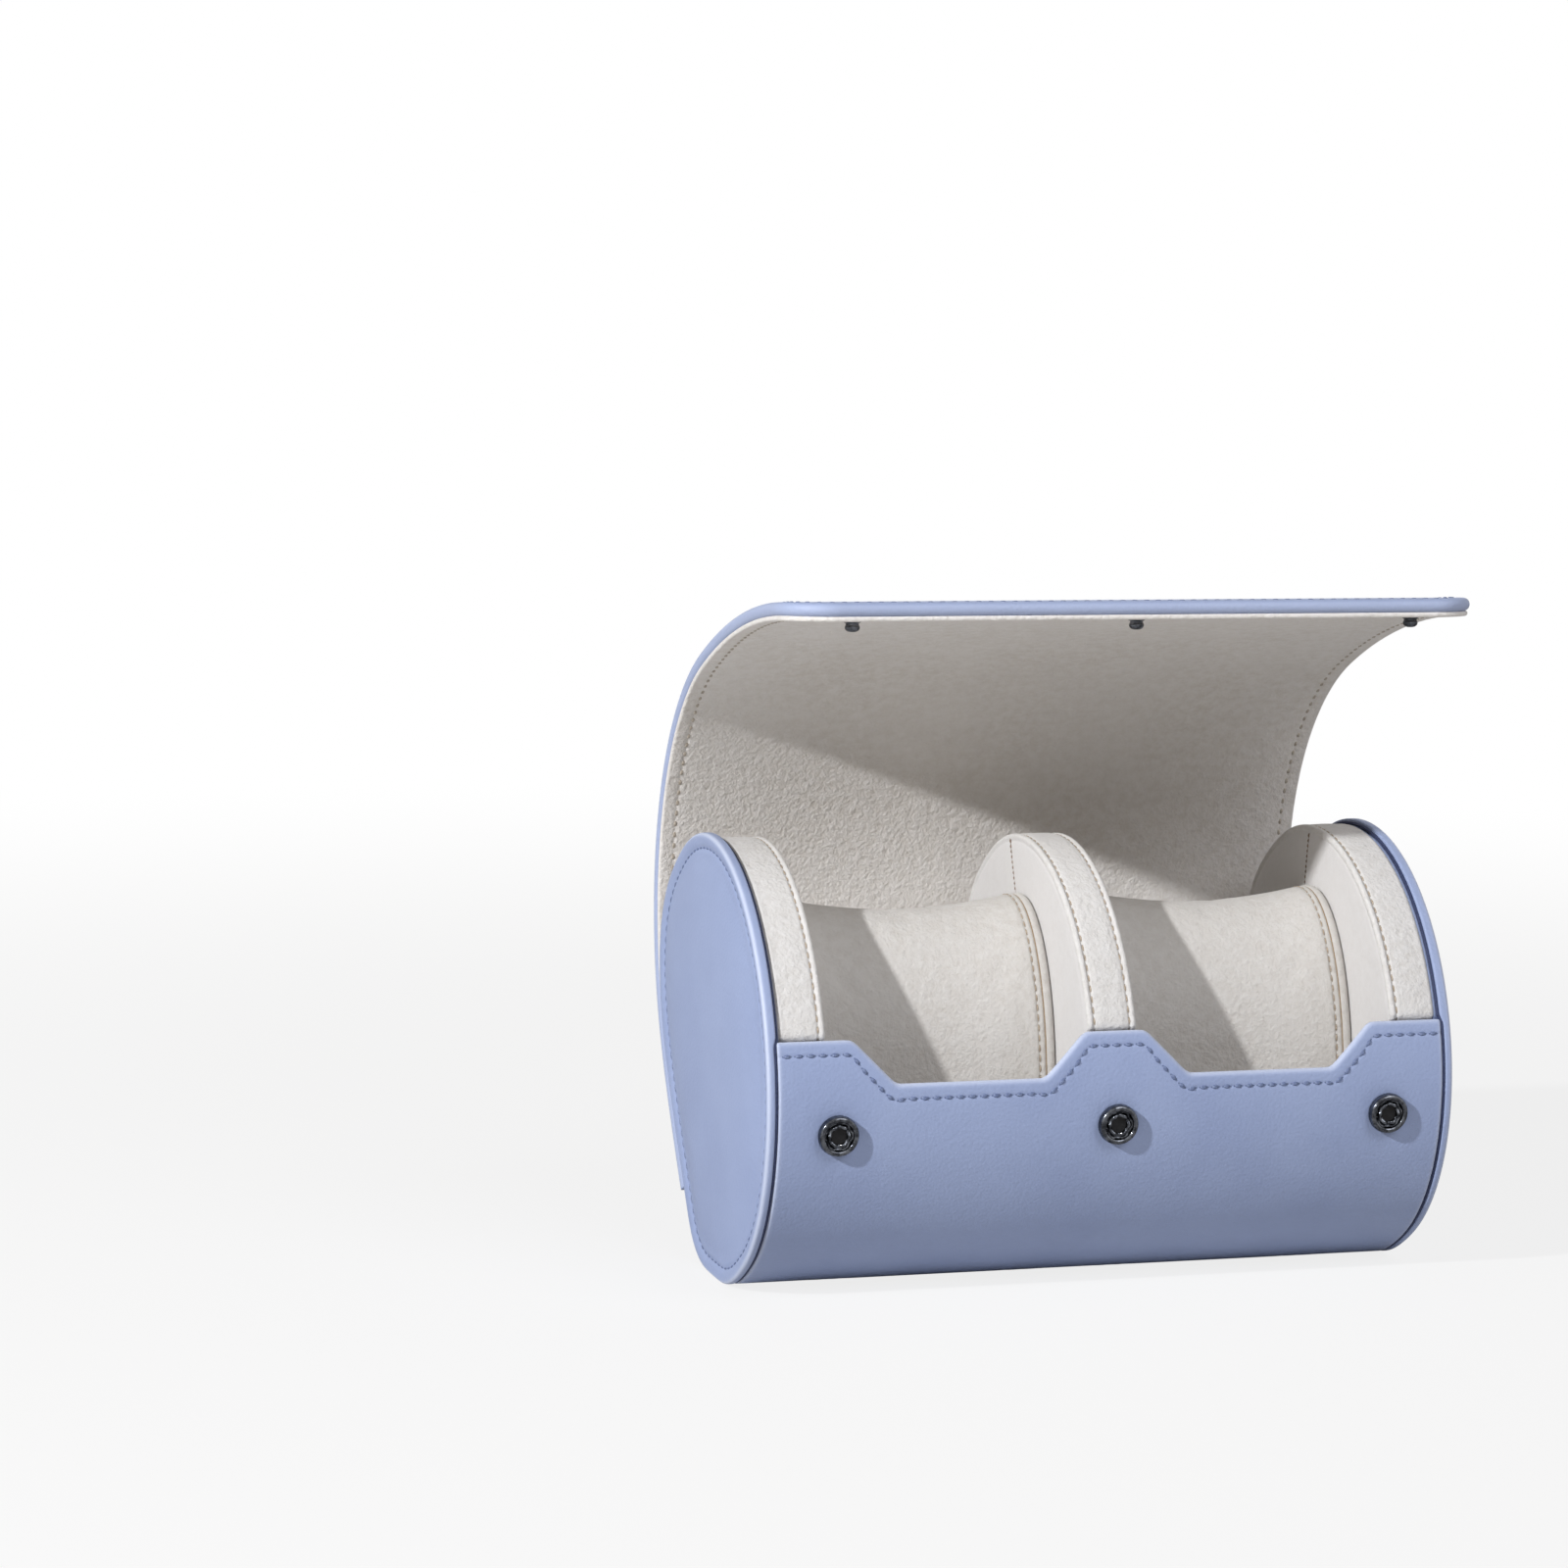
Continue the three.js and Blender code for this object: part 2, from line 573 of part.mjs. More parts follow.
const sleeveShares = [-1, -0.66, 0, 0.66, 1];
const sleeveHalf = (cushionOuter - cushionInner) / 2 - CUSHION_END_THICKNESS;
const waist = (share) => CUSHION_WAIST_DEPTH * (1 - share * share);

function cushionSleeve(end) {
  const x = (share) => end * (cushionMiddle + sleeveHalf * share);
  const outer = sleeveShares.map((share) => ovalRing(x(share), waist(share)));
  const inner = sleeveShares.map((share) => ovalRing(x(share), waist(share) + CUSHION_SKIN_THICKNESS));
  return ringBody([...outer, ...inner.reverse()], true);
}

function cushionCore(end) {
  const x = (share) => end * (cushionMiddle + sleeveHalf * share);
  return ringBody(sleeveShares.map((share) => (
    ovalRing(x(share), waist(share) + CUSHION_SKIN_THICKNESS + FIT_GAP)
  )));
}

function cushionEnd(from, to) {
  return ringBody([
    ovalRing(from, CUSHION_END_STEP_WIDTH / 2),
    ovalRing((from + to) / 2, CUSHION_END_STEP_WIDTH / 2),
    ovalRing(to, CUSHION_END_STEP_WIDTH * 2),
  ]);
}

for (const [side, end] of [['left', -1], ['right', 1]]) {
  const sleeveInner = cushionMiddle - sleeveHalf - GLUE_GAP;
  const sleeveOuter = cushionMiddle + sleeveHalf + GLUE_GAP;
  add(`${side}_cushion_sleeve`, cushionSleeve(end), suede);
  add(`${side}_cushion_core`, cushionCore(end), foam);
  add(`${side}_cushion_inner_end`, cushionEnd(end * sleeveInner, end * cushionInner), suede);
  add(`${side}_cushion_outer_end`, cushionEnd(end * sleeveOuter, end * cushionOuter), suede);
}

// Flap: a root down the flat back and a little way up the open curve, then
// strips along the rest of the curve.
// Layers are measured outwards from the bending line, halfway into the lining.

const flapLength = outline.length * FLAP_ROUND_SHARE;
const flapEdge = HALF_LENGTH - FLAP_SIDE_GAP;
const bendDepth = FLAP_LINING_THICKNESS / 2;
const flapBoardLow = bendDepth + GLUE_GAP;
const flapLeatherLow = flapBoardLow + FLAP_BOARD_THICKNESS + GLUE_GAP;
const flapLayers = [
  { name: 'leather', low: flapLeatherLow, thickness: FLAP_LEATHER_THICKNESS, material: leather },
  { name: 'board', low: flapBoardLow, thickness: FLAP_BOARD_THICKNESS, material: board },
  { name: 'lining', low: -bendDepth, thickness: FLAP_LINING_THICKNESS, material: suede },
];

// The bending line: its point, its way on and its way out at each length
function makeFlapLine() {
  const start = outline.at(0);
  const rise = FIT_GAP + bendDepth;
  const stations = [{
    length: 0, y: start.y + start.outY * rise, z: start.z + start.outZ * rise,
    turn: atan2(start.outY, -start.outZ),
  }];
  for (const { radiusShare, lengthShare } of FLAP_BENDS) {
    const step = (flapLength * lengthShare) / BEND_SAMPLES;
    for (let i = 0; i < BEND_SAMPLES; i += 1) {
      const last = stations.at(-1);
      const turn = last.turn + step / (flapLength * radiusShare);
      const way = (last.turn + turn) / 2;
      stations.push({
        length: last.length + step, y: last.y + step * cos(way), z: last.z + step * sin(way), turn,
      });
    }
  }
  return (length) => {
    let i = stations.findIndex((station) => station.length > length) - 1;
    if (i < 0) i = stations.length - 2;
    const [a, b] = [stations[i], stations[i + 1]];
    const share = (length - a.length) / (b.length - a.length);
    const mix = (key) => a[key] + (b[key] - a[key]) * share;
    return { y: mix('y'), z: mix('z'), turn: mix('turn') };
  };
}

const flapLine = makeFlapLine();

function onFlap(length, out, x) {
  const { y, z, turn } = flapLine(length);
  return new THREE.Vector3(x, y + out * sin(turn), z - out * cos(turn));
}

// Below the bending line a strip's end is cut back by half the hinge's turn
function endCut(out, turnDegrees) {
  const slope = tan(THREE.MathUtils.degToRad(turnDegrees / 2));
  return HINGE_CUT_GAP + max(-out, 0) * slope;
}

function flapHalfWidth(length) {
  const into = max(length - (flapLength - FLAP_CORNER_RADIUS), 0);
  return flapEdge - FLAP_CORNER_RADIUS + sqrt(max(FLAP_CORNER_RADIUS ** 2 - into ** 2, 0));
}

function flapStrip(layer, from, to, startTurn, endTurn) {
  const isTip = endTurn === 0;
  const rows = ceil(((to - from) / flapLength) * FLAP_ROWS) + (isTip ? ROOT_ROWS : 0);
  return slab(rows, 1, (i, j, side) => {
    const out = layer.low + layer.thickness * (1 - side);
    const first = from + endCut(out, startTurn);
    const last = isTip ? to : to - endCut(out, endTurn);
    const length = first + ((last - first) * i) / rows;
    return onFlap(length, out, (j ? 1 : -1) * flapHalfWidth(length));
  });
}

const flapFixed = flapLength * FLAP_FIXED_SHARE;

function flapRoot(layer) {
  const rows = ROOT_ROWS * 2;
  return slab(rows, 1, (i, j, side) => {
    const out = layer.low + layer.thickness * (1 - side);
    const x = (j ? 1 : -1) * flapEdge;
    const top = flapFixed - endCut(out, FLAP_STRIPS[0].turnDegrees);
    const below = FLAP_ROOT_LENGTH * (1 - i / ROOT_ROWS);
    if (below > 0) return onOutline(below, out + bendDepth + FIT_GAP, x);
    return onFlap((top * (i - ROOT_ROWS)) / ROOT_ROWS, out, x);
  });
}

function studPlace(x) {
  const { turn } = flapLine(flapLength - STUD_FROM_EDGE_LENGTH);
  const quaternion = new THREE.Quaternion().setFromUnitVectors(
    new THREE.Vector3(0, 1, 0), new THREE.Vector3(0, -sin(turn), cos(turn)),
  );
  return { position: onFlap(flapLength - STUD_FROM_EDGE_LENGTH, 0, x), quaternion };
}

const studPlaces = Object.values(snapPlaces).map(studPlace);
const studHoles = { board: WASHER_RADIUS + SNAP_GAP, lining: STUD_SHANK_RADIUS + SNAP_GAP };

for (const layer of flapLayers) add(`flap_root_${layer.name}`, flapRoot(layer), layer.material);
let stripStart = flapFixed;
FLAP_STRIPS.forEach((strip, index) => {
  const after = FLAP_STRIPS[index + 1];
  const end = after ? stripStart + flapLength * strip.lengthShare : flapLength;
  for (const layer of flapLayers) {
    let geometry = flapStrip(layer, stripStart, end, strip.turnDegrees, after ? after.turnDegrees : 0);
    if (!after && studHoles[layer.name]) {
      geometry = cutAway(geometry, studPlaces.map((p) => hole(p, studHoles[layer.name], THROUGH)));
    }
    add(`flap_strip_${index + 1}_${layer.name}`, geometry, layer.material);
  }
  stripStart = end;
});

// Snaps, turned on a lathe: local Y is out of the surface that they sit on

function turned(points) {
  return new THREE.LatheGeometry(points.map(([r, y]) => new THREE.Vector2(r, y)), SNAP_SIDES);
}

function socket() {
  const shankEnd = -(boardDepth + WRAP_BOARD_THICKNESS);
  const top = SNAP_GAP + SOCKET_RISE_HEIGHT;
  const floorTop = SNAP_GAP + SOCKET_FLOOR_THICKNESS;
  const lip = SOCKET_RISE_HEIGHT / 4;
  return turned([
    [0, shankEnd], [SOCKET_SHANK_RADIUS, shankEnd], [SOCKET_SHANK_RADIUS, SNAP_GAP],
    [SOCKET_RADIUS, SNAP_GAP], [SOCKET_RADIUS, top - lip], [SOCKET_RADIUS - lip, top],
    [SOCKET_BORE_RADIUS, top], [SOCKET_BORE_RADIUS, floorTop], [0, floorTop],
  ]);
}

function washer(shank, middle) {
  const [low, high] = [middle - WASHER_THICKNESS / 2, middle + WASHER_THICKNESS / 2];
  const bore = shank + SNAP_GAP / 2;
  return turned([[bore, low], [WASHER_RADIUS, low], [WASHER_RADIUS, high], [bore, high], [bore, low]]);
}

function stud() {
  const seat = bendDepth + SNAP_GAP;
  const top = seat + STUD_RISE_HEIGHT;
  const shankEnd = -(flapBoardLow + FLAP_BOARD_THICKNESS);
  const lip = STUD_RADIUS / 4;
  return turned([
    [0, shankEnd], [STUD_SHANK_RADIUS, shankEnd], [STUD_SHANK_RADIUS, seat],
    [STUD_RADIUS, seat], [STUD_RADIUS, top - lip], [STUD_RADIUS - lip, top], [0, top],
  ]);
}

const wrapBoardMiddle = -(boardDepth + WRAP_BOARD_THICKNESS / 2);
const flapBoardMiddle = -(flapBoardLow + FLAP_BOARD_THICKNESS / 2);

Object.keys(snapPlaces).forEach((side, index) => {
  const front = socketPlaces[index];
  add(`snap_socket_${side}`, socket(), snapMetal, front);
  add(`socket_washer_${side}`, washer(SOCKET_SHANK_RADIUS, wrapBoardMiddle), snapMetal, front);
  const flap = studPlaces[index];
  add(`snap_stud_${side}`, stud(), snapMetal, flap);
  add(`stud_washer_${side}`, washer(STUD_SHANK_RADIUS, flapBoardMiddle), snapMetal, flap);
});

export default part;
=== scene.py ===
"""An open travel watch roll: a leather barrel with two end caps, suede pads and
cushions, a lined flap and three snaps. Shapes are worked out in millimetres and
become metres when a mesh is made. The model is loaded as a fixed frame, and the
pieces here are placed from the same sizes that its source names.
"""

import math

import bpy
import numpy as np
from mathutils import Matrix, Vector
from mathutils.geometry import convex_hull_2d


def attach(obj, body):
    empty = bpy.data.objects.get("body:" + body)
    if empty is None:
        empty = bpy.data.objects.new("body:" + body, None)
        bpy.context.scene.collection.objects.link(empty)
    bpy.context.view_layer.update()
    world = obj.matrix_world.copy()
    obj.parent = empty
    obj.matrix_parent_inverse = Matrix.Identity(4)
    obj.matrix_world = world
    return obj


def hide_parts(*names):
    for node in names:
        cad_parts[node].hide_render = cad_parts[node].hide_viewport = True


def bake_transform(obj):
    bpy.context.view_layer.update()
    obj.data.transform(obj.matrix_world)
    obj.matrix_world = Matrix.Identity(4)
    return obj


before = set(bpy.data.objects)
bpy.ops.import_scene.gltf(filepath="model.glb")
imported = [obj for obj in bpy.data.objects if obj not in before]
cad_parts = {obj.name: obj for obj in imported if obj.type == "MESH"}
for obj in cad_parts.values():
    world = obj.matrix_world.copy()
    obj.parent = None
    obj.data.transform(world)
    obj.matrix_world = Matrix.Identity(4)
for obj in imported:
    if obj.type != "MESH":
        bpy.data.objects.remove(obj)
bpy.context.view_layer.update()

MM = 0.001

# ---- sizes shared with the source ----
ROLL_LENGTH = 168.4
SECTION_HALF_LENGTH = 53.7
SECTION_FRONT_DEPTH = 47.5
SECTION_BACK_DEPTH = 39.1
SECTION_LEAN = math.radians(34)
BACK_SQUARENESS = 2.7
AXIS_HEIGHT = 52.2
BASE_STRIP_WIDTH = 28
AXIS_SETBACK = 3
CORNER_SOFTENING = 4
SECTION_SAMPLES = 900

WRAP_THICKNESS = 3.2
FIT_GAP = 0.3
TAB_HEIGHT = 64.2
NOTCH_HEIGHT = 53.7
CENTRE_TAB_HALF_WIDTH = 7.5
TAB_SLOPE_WIDTH = 10
END_TAB_WIDTH = 18.5

RIM_WIDTH = 2
CAP_DEPTH = 3.9
CAP_DOME_HEIGHT = 2.4
CAP_SKIN = 1.0
GLUE_GAP = 0.2
SEAT_RAMP_LENGTH = 24
FRONT_RAMP_LENGTH = 2.8

WALL_PAD_THICKNESS = 10.7
DIVIDER_THICKNESS = 12
PAD_BELOW_RIM = 1.4

CUSHION_HALF_DEPTH = 24
CUSHION_HEIGHT = 84
CUSHION_SET_FORWARD = 0.5
CUSHION_LEAN = math.radians(5)
CUSHION_WAIST = 2.2
CUSHION_SIDE_GAP = 0.5
CUSHION_END_THICKNESS = 2
CUSHION_SQUARENESS = 2.05

FLAP_SIDE_GAP = 0.7
FLAP_CORNER_RADIUS = 12
FLAP_ROOT_LENGTH = 28
FLAP_FIXED_SHARE = 0.1291
FLAP_ROUND_SHARE = 0.6258
HINGE_UP_BACK_SHARE = 0.2
BEND_DEPTH = 0.7
FLAP_BENDS = [(0.7595, 0.0582), (0.3848, 0.2), (0.3392, 0.1266), (0.3241, 0.2228), (0.9165, 0.3924)]
FLAP_STRIP_SHARES = [0.0952, 0.1544, 0.2, 0.1337, 0.1691, 0.1185]
BEND_SAMPLES = 60

SNAP_FROM_END = 16.7
SOCKET_HEIGHT = 42.5
STUD_FROM_EDGE = 6

HALF_LENGTH = ROLL_LENGTH / 2
WRAP_END = HALF_LENGTH - RIM_WIDTH - GLUE_GAP
PAD_BACK = HALF_LENGTH - CAP_DEPTH - GLUE_GAP / 2
PAD_FRONT = PAD_BACK - WALL_PAD_THICKNESS

# ---- sizes that only the dressed model has ----
STITCH_FROM_EDGE = 3.5
STITCH_PITCH = 2.85
STITCH_LENGTH = 1.9
THREAD_RADIUS = 0.47
STITCH_SINK = 0.1
HOLE_PAST_STITCH = 0.02
HOLE_SHARE = 0.45
CAP_STITCH_INSET = 3.65
CAP_STITCH_DROP = 0.74
CAP_STITCH_PITCH = 2.9
CAP_STITCH_LENGTH = 1.85
CAP_THREAD_RADIUS = 0.26
SUEDE_STITCH_LENGTH = 1.5
SUEDE_THREAD_RADIUS = 0.16
PAD_STITCH_PITCH = 2.6
CUSHION_STITCH_PITCH = 2.4
CUSHION_STITCH_FROM_END = 1.5
JOIN_STITCH_PITCH = 1.25
JOIN_STITCH_LENGTH = 1.0
JOIN_THREAD_RADIUS = 0.27
SEAM_CORD_RADIUS = 0.45
RING_SAMPLES = 396
SMALL_RING = 2 * np.pi * np.arange(8) / 8
# Leather is paler along its borders within this width: partly wear, partly a painted highlight on the rolled
# edge
EDGE_WEAR_AND_HIGHLIGHT_WIDTH = 0.7
# The base corners are worn rounder over these lengths of the outline, the wear fading a share past them
WORN_REACH_BACK = 11.0
WORN_REACH_FRONT = 7.0
WORN_SPREAD = 1.35
# Rows of the wrap follow the scalloped edge less and less, and run straight from here on
STRETCH_FADE = 12
STRAIGHT_FROM = 20
SNAP_DIMPLE = 0.3
SNAP_DIMPLE_RADIUS = 6.2
# The mouth of a cap: its band ends further in, its neck sinks and the pad reaches further back
MOUTH_RIM_EXTRA = 0.6
MOUTH_NECK_SINK = 1.1
MOUTH_PAD_REACH = 0.7


# ---------------------------------------------------------------- outline

ALONG_BACK = np.array([math.sin(SECTION_LEAN), math.cos(SECTION_LEAN)])
OUT_OF_BACK = np.array([math.cos(SECTION_LEAN), -math.sin(SECTION_LEAN)])


def d_section(turn):
    """Half an ellipse in front and half a superellipse behind: (y, z) from the axis is
    along * up + across * out, with up and out the cosine and sine of turn times the half sizes,
    and behind the axis both raised to 2 / squareness with their signs kept."""
    c, s = np.cos(turn), np.sin(turn)
    squared = lambda v: np.sign(v) * np.abs(v) ** (2 / BACK_SQUARENESS)
    up = SECTION_HALF_LENGTH * np.where(s > 0, c, squared(c))
    out = np.where(s > 0, -SECTION_FRONT_DEPTH * s, -SECTION_BACK_DEPTH * squared(s))
    return up[:, None] * ALONG_BACK + out[:, None] * OUT_OF_BACK


def closed_lengths(points):
    return np.concatenate([[0], np.cumsum(np.linalg.norm(np.roll(points, -1, 0) - points, axis=1))])


def even_steps(points, count):
    """Equal steps of length round a closed line, by linear interpolation of its running length."""
    lengths = closed_lengths(points)
    wanted = lengths[-1] * np.arange(count) / count
    ring = np.concatenate([points, points[:1]])
    return np.stack([np.interp(wanted, lengths, ring[:, k]) for k in (0, 1)], -1)


def make_outline():
    """The barrel's outline from the hinge line down the back, forward and up: the D cut off at the
    floor, its hull with the base strip, in equal steps, each averaged with its neighbours."""
    section = d_section(2 * np.pi * np.arange(SECTION_SAMPLES) / SECTION_SAMPLES)
    section[:, 1] = np.maximum(section[:, 1], -AXIS_HEIGHT)
    base_back = BASE_STRIP_WIDTH / 2 - AXIS_SETBACK
    base = np.array([[base_back - BASE_STRIP_WIDTH, -AXIS_HEIGHT], [base_back, -AXIS_HEIGHT]])
    cloud = np.concatenate([section, base])
    hull = cloud[convex_hull_2d(cloud.tolist())]
    area = np.sum(hull[:, 0] * np.roll(hull[:, 1], -1) - np.roll(hull[:, 0], -1) * hull[:, 1])
    hull = hull if area > 0 else hull[::-1]
    hull = np.roll(hull, -int(hull[:, 0].argmin()), 0)[::-1]
    even = even_steps(hull, SECTION_SAMPLES)
    out = SECTION_BACK_DEPTH * (1 - HINGE_UP_BACK_SHARE**BACK_SQUARENESS) ** (1 / BACK_SQUARENESS)
    hinge = ALONG_BACK * SECTION_HALF_LENGTH * HINGE_UP_BACK_SHARE + OUT_OF_BACK * out
    even = np.roll(even, -int(np.linalg.norm(even - hinge, axis=1).argmin()), 0)
    reach = round(CORNER_SOFTENING / float(np.linalg.norm(even[1] - even[0])))
    soft = np.mean([np.roll(even, k, 0) for k in range(-reach, reach + 1)], axis=0)
    step = np.roll(soft, 1, 0) - np.roll(soft, -1, 0)
    ways = np.stack([step[:, 1], -step[:, 0]], -1)
    ways /= np.linalg.norm(ways, axis=1, keepdims=True)
    if ways[0] @ soft[0] < 0:
        ways = -ways
    return soft, ways, float(closed_lengths(soft)[-1])


OUTLINE, OUTLINE_WAYS, OUTLINE_LENGTH = make_outline()


def round_corners(points, length):
    """The outline with its two base corners worn rounder: each point is drawn towards the average of
    its neighbours within a reach, by a share that falls off as exp(-(way from the corner / width)^4)."""
    at = length * np.arange(SECTION_SAMPLES) / SECTION_SAMPLES
    flat = points[:, 1] < points[:, 1].min() + 0.6
    made = points.copy()
    for corner, reach in ((at[flat].min(), WORN_REACH_BACK), (at[flat].max(), WORN_REACH_FRONT)):
        count = int(round(reach / length * SECTION_SAMPLES))
        even = np.mean([np.roll(points, k, 0) for k in range(-count, count + 1)], axis=0)
        share = np.exp(-(((at - corner) / (reach * WORN_SPREAD)) ** 4))[:, None]
        made = made + (even - points) * share
    return made


WORN_OUTLINE = round_corners(OUTLINE, OUTLINE_LENGTH)


def outline_at(s, worn=False):
    """The outline's point and its way out, s millimetres on from the hinge line."""
    place = np.mod(np.asarray(s, float) / OUTLINE_LENGTH * SECTION_SAMPLES, SECTION_SAMPLES)
    i = np.floor(place).astype(int) % SECTION_SAMPLES
    share = (place - np.floor(place))[..., None]
    after = (i + 1) % SECTION_SAMPLES
    line = WORN_OUTLINE if worn else OUTLINE
    point = line[i] * (1 - share) + line[after] * share
    way = OUTLINE_WAYS[i] * (1 - share) + OUTLINE_WAYS[after] * share
    return point + (AXIS_SETBACK, AXIS_HEIGHT), way / np.linalg.norm(way, axis=-1, keepdims=True)


def on_outline(s, out, x, worn=False):
    point, way = outline_at(s, worn)
    yz = point + way * np.asarray(out, float)[..., None]
    return np.stack(np.broadcast_arrays(x, yz[..., 0], yz[..., 1]), -1)


def front_station(height):
    s = OUTLINE_LENGTH * np.arange(SECTION_SAMPLES) / SECTION_SAMPLES
    point, _ = outline_at(s)
    off = np.where((point[:, 0] < 0) & (s > OUTLINE_LENGTH / 4), np.abs(point[:, 1] - height), 1e9)
    return float(s[off.argmin()])


TAB_STATION = front_station(TAB_HEIGHT)
NOTCH_STATION = front_station(NOTCH_HEIGHT)
SOCKET_STATION = front_station(SOCKET_HEIGHT)


def eased(t):
    t = np.clip(t, 0, 1)
    return t * t * (3 - 2 * t)


def seat_depth(s):
    """How far pads and necks lie in from the outline: under the wrap where it covers them, and near
    the rim where the mouth is open, with a short eased ramp at the wrap's edge and a long one behind."""
    s = np.mod(s, OUTLINE_LENGTH)
    from_front = (s - TAB_STATION) / FRONT_RAMP_LENGTH + 0.5
    from_hinge = (OUTLINE_LENGTH - s) / SEAT_RAMP_LENGTH
    wrapped = WRAP_THICKNESS + FIT_GAP
    return wrapped + (CAP_SKIN / 2 - wrapped) * eased(np.minimum(from_front, from_hinge))


# ---------------------------------------------------------------- flap line

FLAP_LENGTH = OUTLINE_LENGTH * FLAP_ROUND_SHARE
FLAP_EDGE = HALF_LENGTH - FLAP_SIDE_GAP


def make_flap_line():
    """The bending line: five arcs in a row. Its heading is the running sum of step / radius, and its
    place the running sum of step times the heading halfway through each step."""
    point, way = outline_at(0.0)
    start = point + way * (FIT_GAP + BEND_DEPTH)
    steps = np.repeat([FLAP_LENGTH * share / BEND_SAMPLES for _, share in FLAP_BENDS], BEND_SAMPLES)
    radii = np.repeat([FLAP_LENGTH * share for share, _ in FLAP_BENDS], BEND_SAMPLES)
    turns = math.atan2(way[0], -way[1]) + np.concatenate([[0], np.cumsum(steps / radii)])
    half = (turns[1:] + turns[:-1]) / 2
    y = start[0] + np.concatenate([[0], np.cumsum(steps * np.cos(half))])
    z = start[1] + np.concatenate([[0], np.cumsum(steps * np.sin(half))])
    return np.concatenate([[0], np.cumsum(steps)]), y, z, turns


FLAP_LINE = make_flap_line()


def on_flap(length, out, x):
    """A point of the flap: below its root the outline runs backwards down the back, above it the
    bending line runs on, and out is measured away from the lining in both."""
    length, out, x = np.broadcast_arrays(*(np.asarray(v, float) for v in (length, out, x)))
    lengths, ys, zs, turns = FLAP_LINE
    turn = np.interp(length, lengths, turns)
    upper = np.stack([np.interp(length, lengths, ys) + out * np.sin(turn),
                      np.interp(length, lengths, zs) - out * np.cos(turn)], -1)
    past = np.maximum(length - lengths[-1], 0)[..., None] * np.stack([np.cos(turn), np.sin(turn)], -1)
    point, way = outline_at(np.maximum(-length, 0))
    lower = point + way * (out + BEND_DEPTH + FIT_GAP)[..., None]
    yz = np.where((length < 0)[..., None], lower, upper + past)
    return np.concatenate([x[..., None], yz], -1)


HINGES = np.cumsum([FLAP_LENGTH * share for share in [FLAP_FIXED_SHARE] + FLAP_STRIP_SHARES])[:-1]
STRIP_ENDS = np.append(HINGES, FLAP_LENGTH)
STRIP_MIDDLES = (STRIP_ENDS[1:] + STRIP_ENDS[:-1]) / 2


# ---------------------------------------------------------------- meshes

def quads(ids, close=False):
    """Four-sided faces between neighbouring rows and columns of a grid of point numbers."""
    if close:
        ids = np.concatenate([ids, ids[:, :1]], 1)
    return np.stack([ids[:-1, :-1], ids[:-1, 1:], ids[1:, 1:], ids[1:, :-1]], -1).reshape(-1, 4)


def fan(ring, middle):
    """Triangles from a closed ring of point numbers to one middle point."""
    return np.stack([ring, np.roll(ring, -1), np.full(len(ring), middle)], -1)


def volume_of(points, faces):
    total = 0.0
    for group in faces:
        for k in range(1, group.shape[1] - 1):
            a, b, c = points[group[:, 0]], points[group[:, k]], points[group[:, k + 1]]
            total += float(np.einsum("ij,ij->i", a, np.cross(b, c)).sum())
    return total


def make_piece(name, points, faces, materials, indices=None, edge=None, crease=46):
    """A closed mesh from points in millimetres and groups of faces. All the faces turn round
    together where the volume they enclose comes out negative, so that they point outwards."""
    if volume_of(points, faces) < 0:
        faces = [group[:, ::-1] for group in faces]
    mesh = bpy.data.meshes.new(name)
    mesh.from_pydata((points * MM).tolist(), [], [face for group in faces for face in group.tolist()])
    for material in materials:
        mesh.materials.append(material)
    if indices is not None:
        mesh.polygons.foreach_set("material_index", np.concatenate(indices).astype(np.int32))
    mesh.polygons.foreach_set("use_smooth", np.ones(len(mesh.polygons), bool))
    mesh.update()
    mesh.set_sharp_from_angle(angle=math.radians(crease))
    if edge is not None:
        worn = mesh.attributes.new("edge", "FLOAT", "POINT")
        worn.data.foreach_set("value", edge.astype(np.float32))
    piece = bpy.data.objects.new(name, mesh)
    bpy.context.scene.collection.objects.link(piece)
    return piece


def rings_to_faces(rings, joined=False):
    """Faces of a body from rings of points, closed round, with a middle point at each end,
    or with the last ring joined to the first."""
    count, sides = rings.shape[:2]
    ids = np.arange(count * sides).reshape(count, sides)
    points = rings.reshape(-1, 3)
    if joined:
        return points, [quads(np.concatenate([ids, ids[:1]]), close=True)]
    points = np.concatenate([points, rings[[0, -1]].mean(1)])
    ends = [fan(ids[0][::-1], count * sides), fan(ids[-1], count * sides + 1)]
    return points, [quads(ids, close=True), np.concatenate(ends)]


def sheet_to_faces(outer, inner, cut_first=False, cut_last=False):
    """Faces of a thick sheet from two grids that meet along the border. A row marked as cut
    stays open in thickness and gets a flat wall between the grids."""
    rows, columns = outer.shape[:2]
    front = np.arange(rows * columns).reshape(rows, columns)
    free = np.zeros((rows, columns), bool)
    free[0 if cut_first else 1: rows if cut_last else rows - 1, 1:-1] = True
    back = front.copy()
    back[free] = rows * columns + np.arange(free.sum())
    points = np.concatenate([outer.reshape(-1, 3), inner[free]])
    faces = [quads(front), quads(back)[:, ::-1]]
    for cut, row, flip in ((cut_first, 0, 1), (cut_last, -1, -1)):
        if cut:
            f, b = front[row], back[row]
            faces.append(np.stack([f[1:-2], b[1:-2], b[2:-1], f[2:-1]], -1)[:, ::flip])
            faces.append(np.array([[f[0], b[1], f[1]], [f[-2], b[-2], f[-1]]])[:, ::flip])
    return points, faces, free


def rounded(distance, radius):
    """The share of full thickness at a distance in from a border: a quarter circle."""
    return np.sqrt(np.maximum(1 - (1 - np.clip(distance / radius, 0, 1)) ** 2, 0))


def groove(distance, place, width):
    return np.exp(-(((distance - place) / width) ** 2))


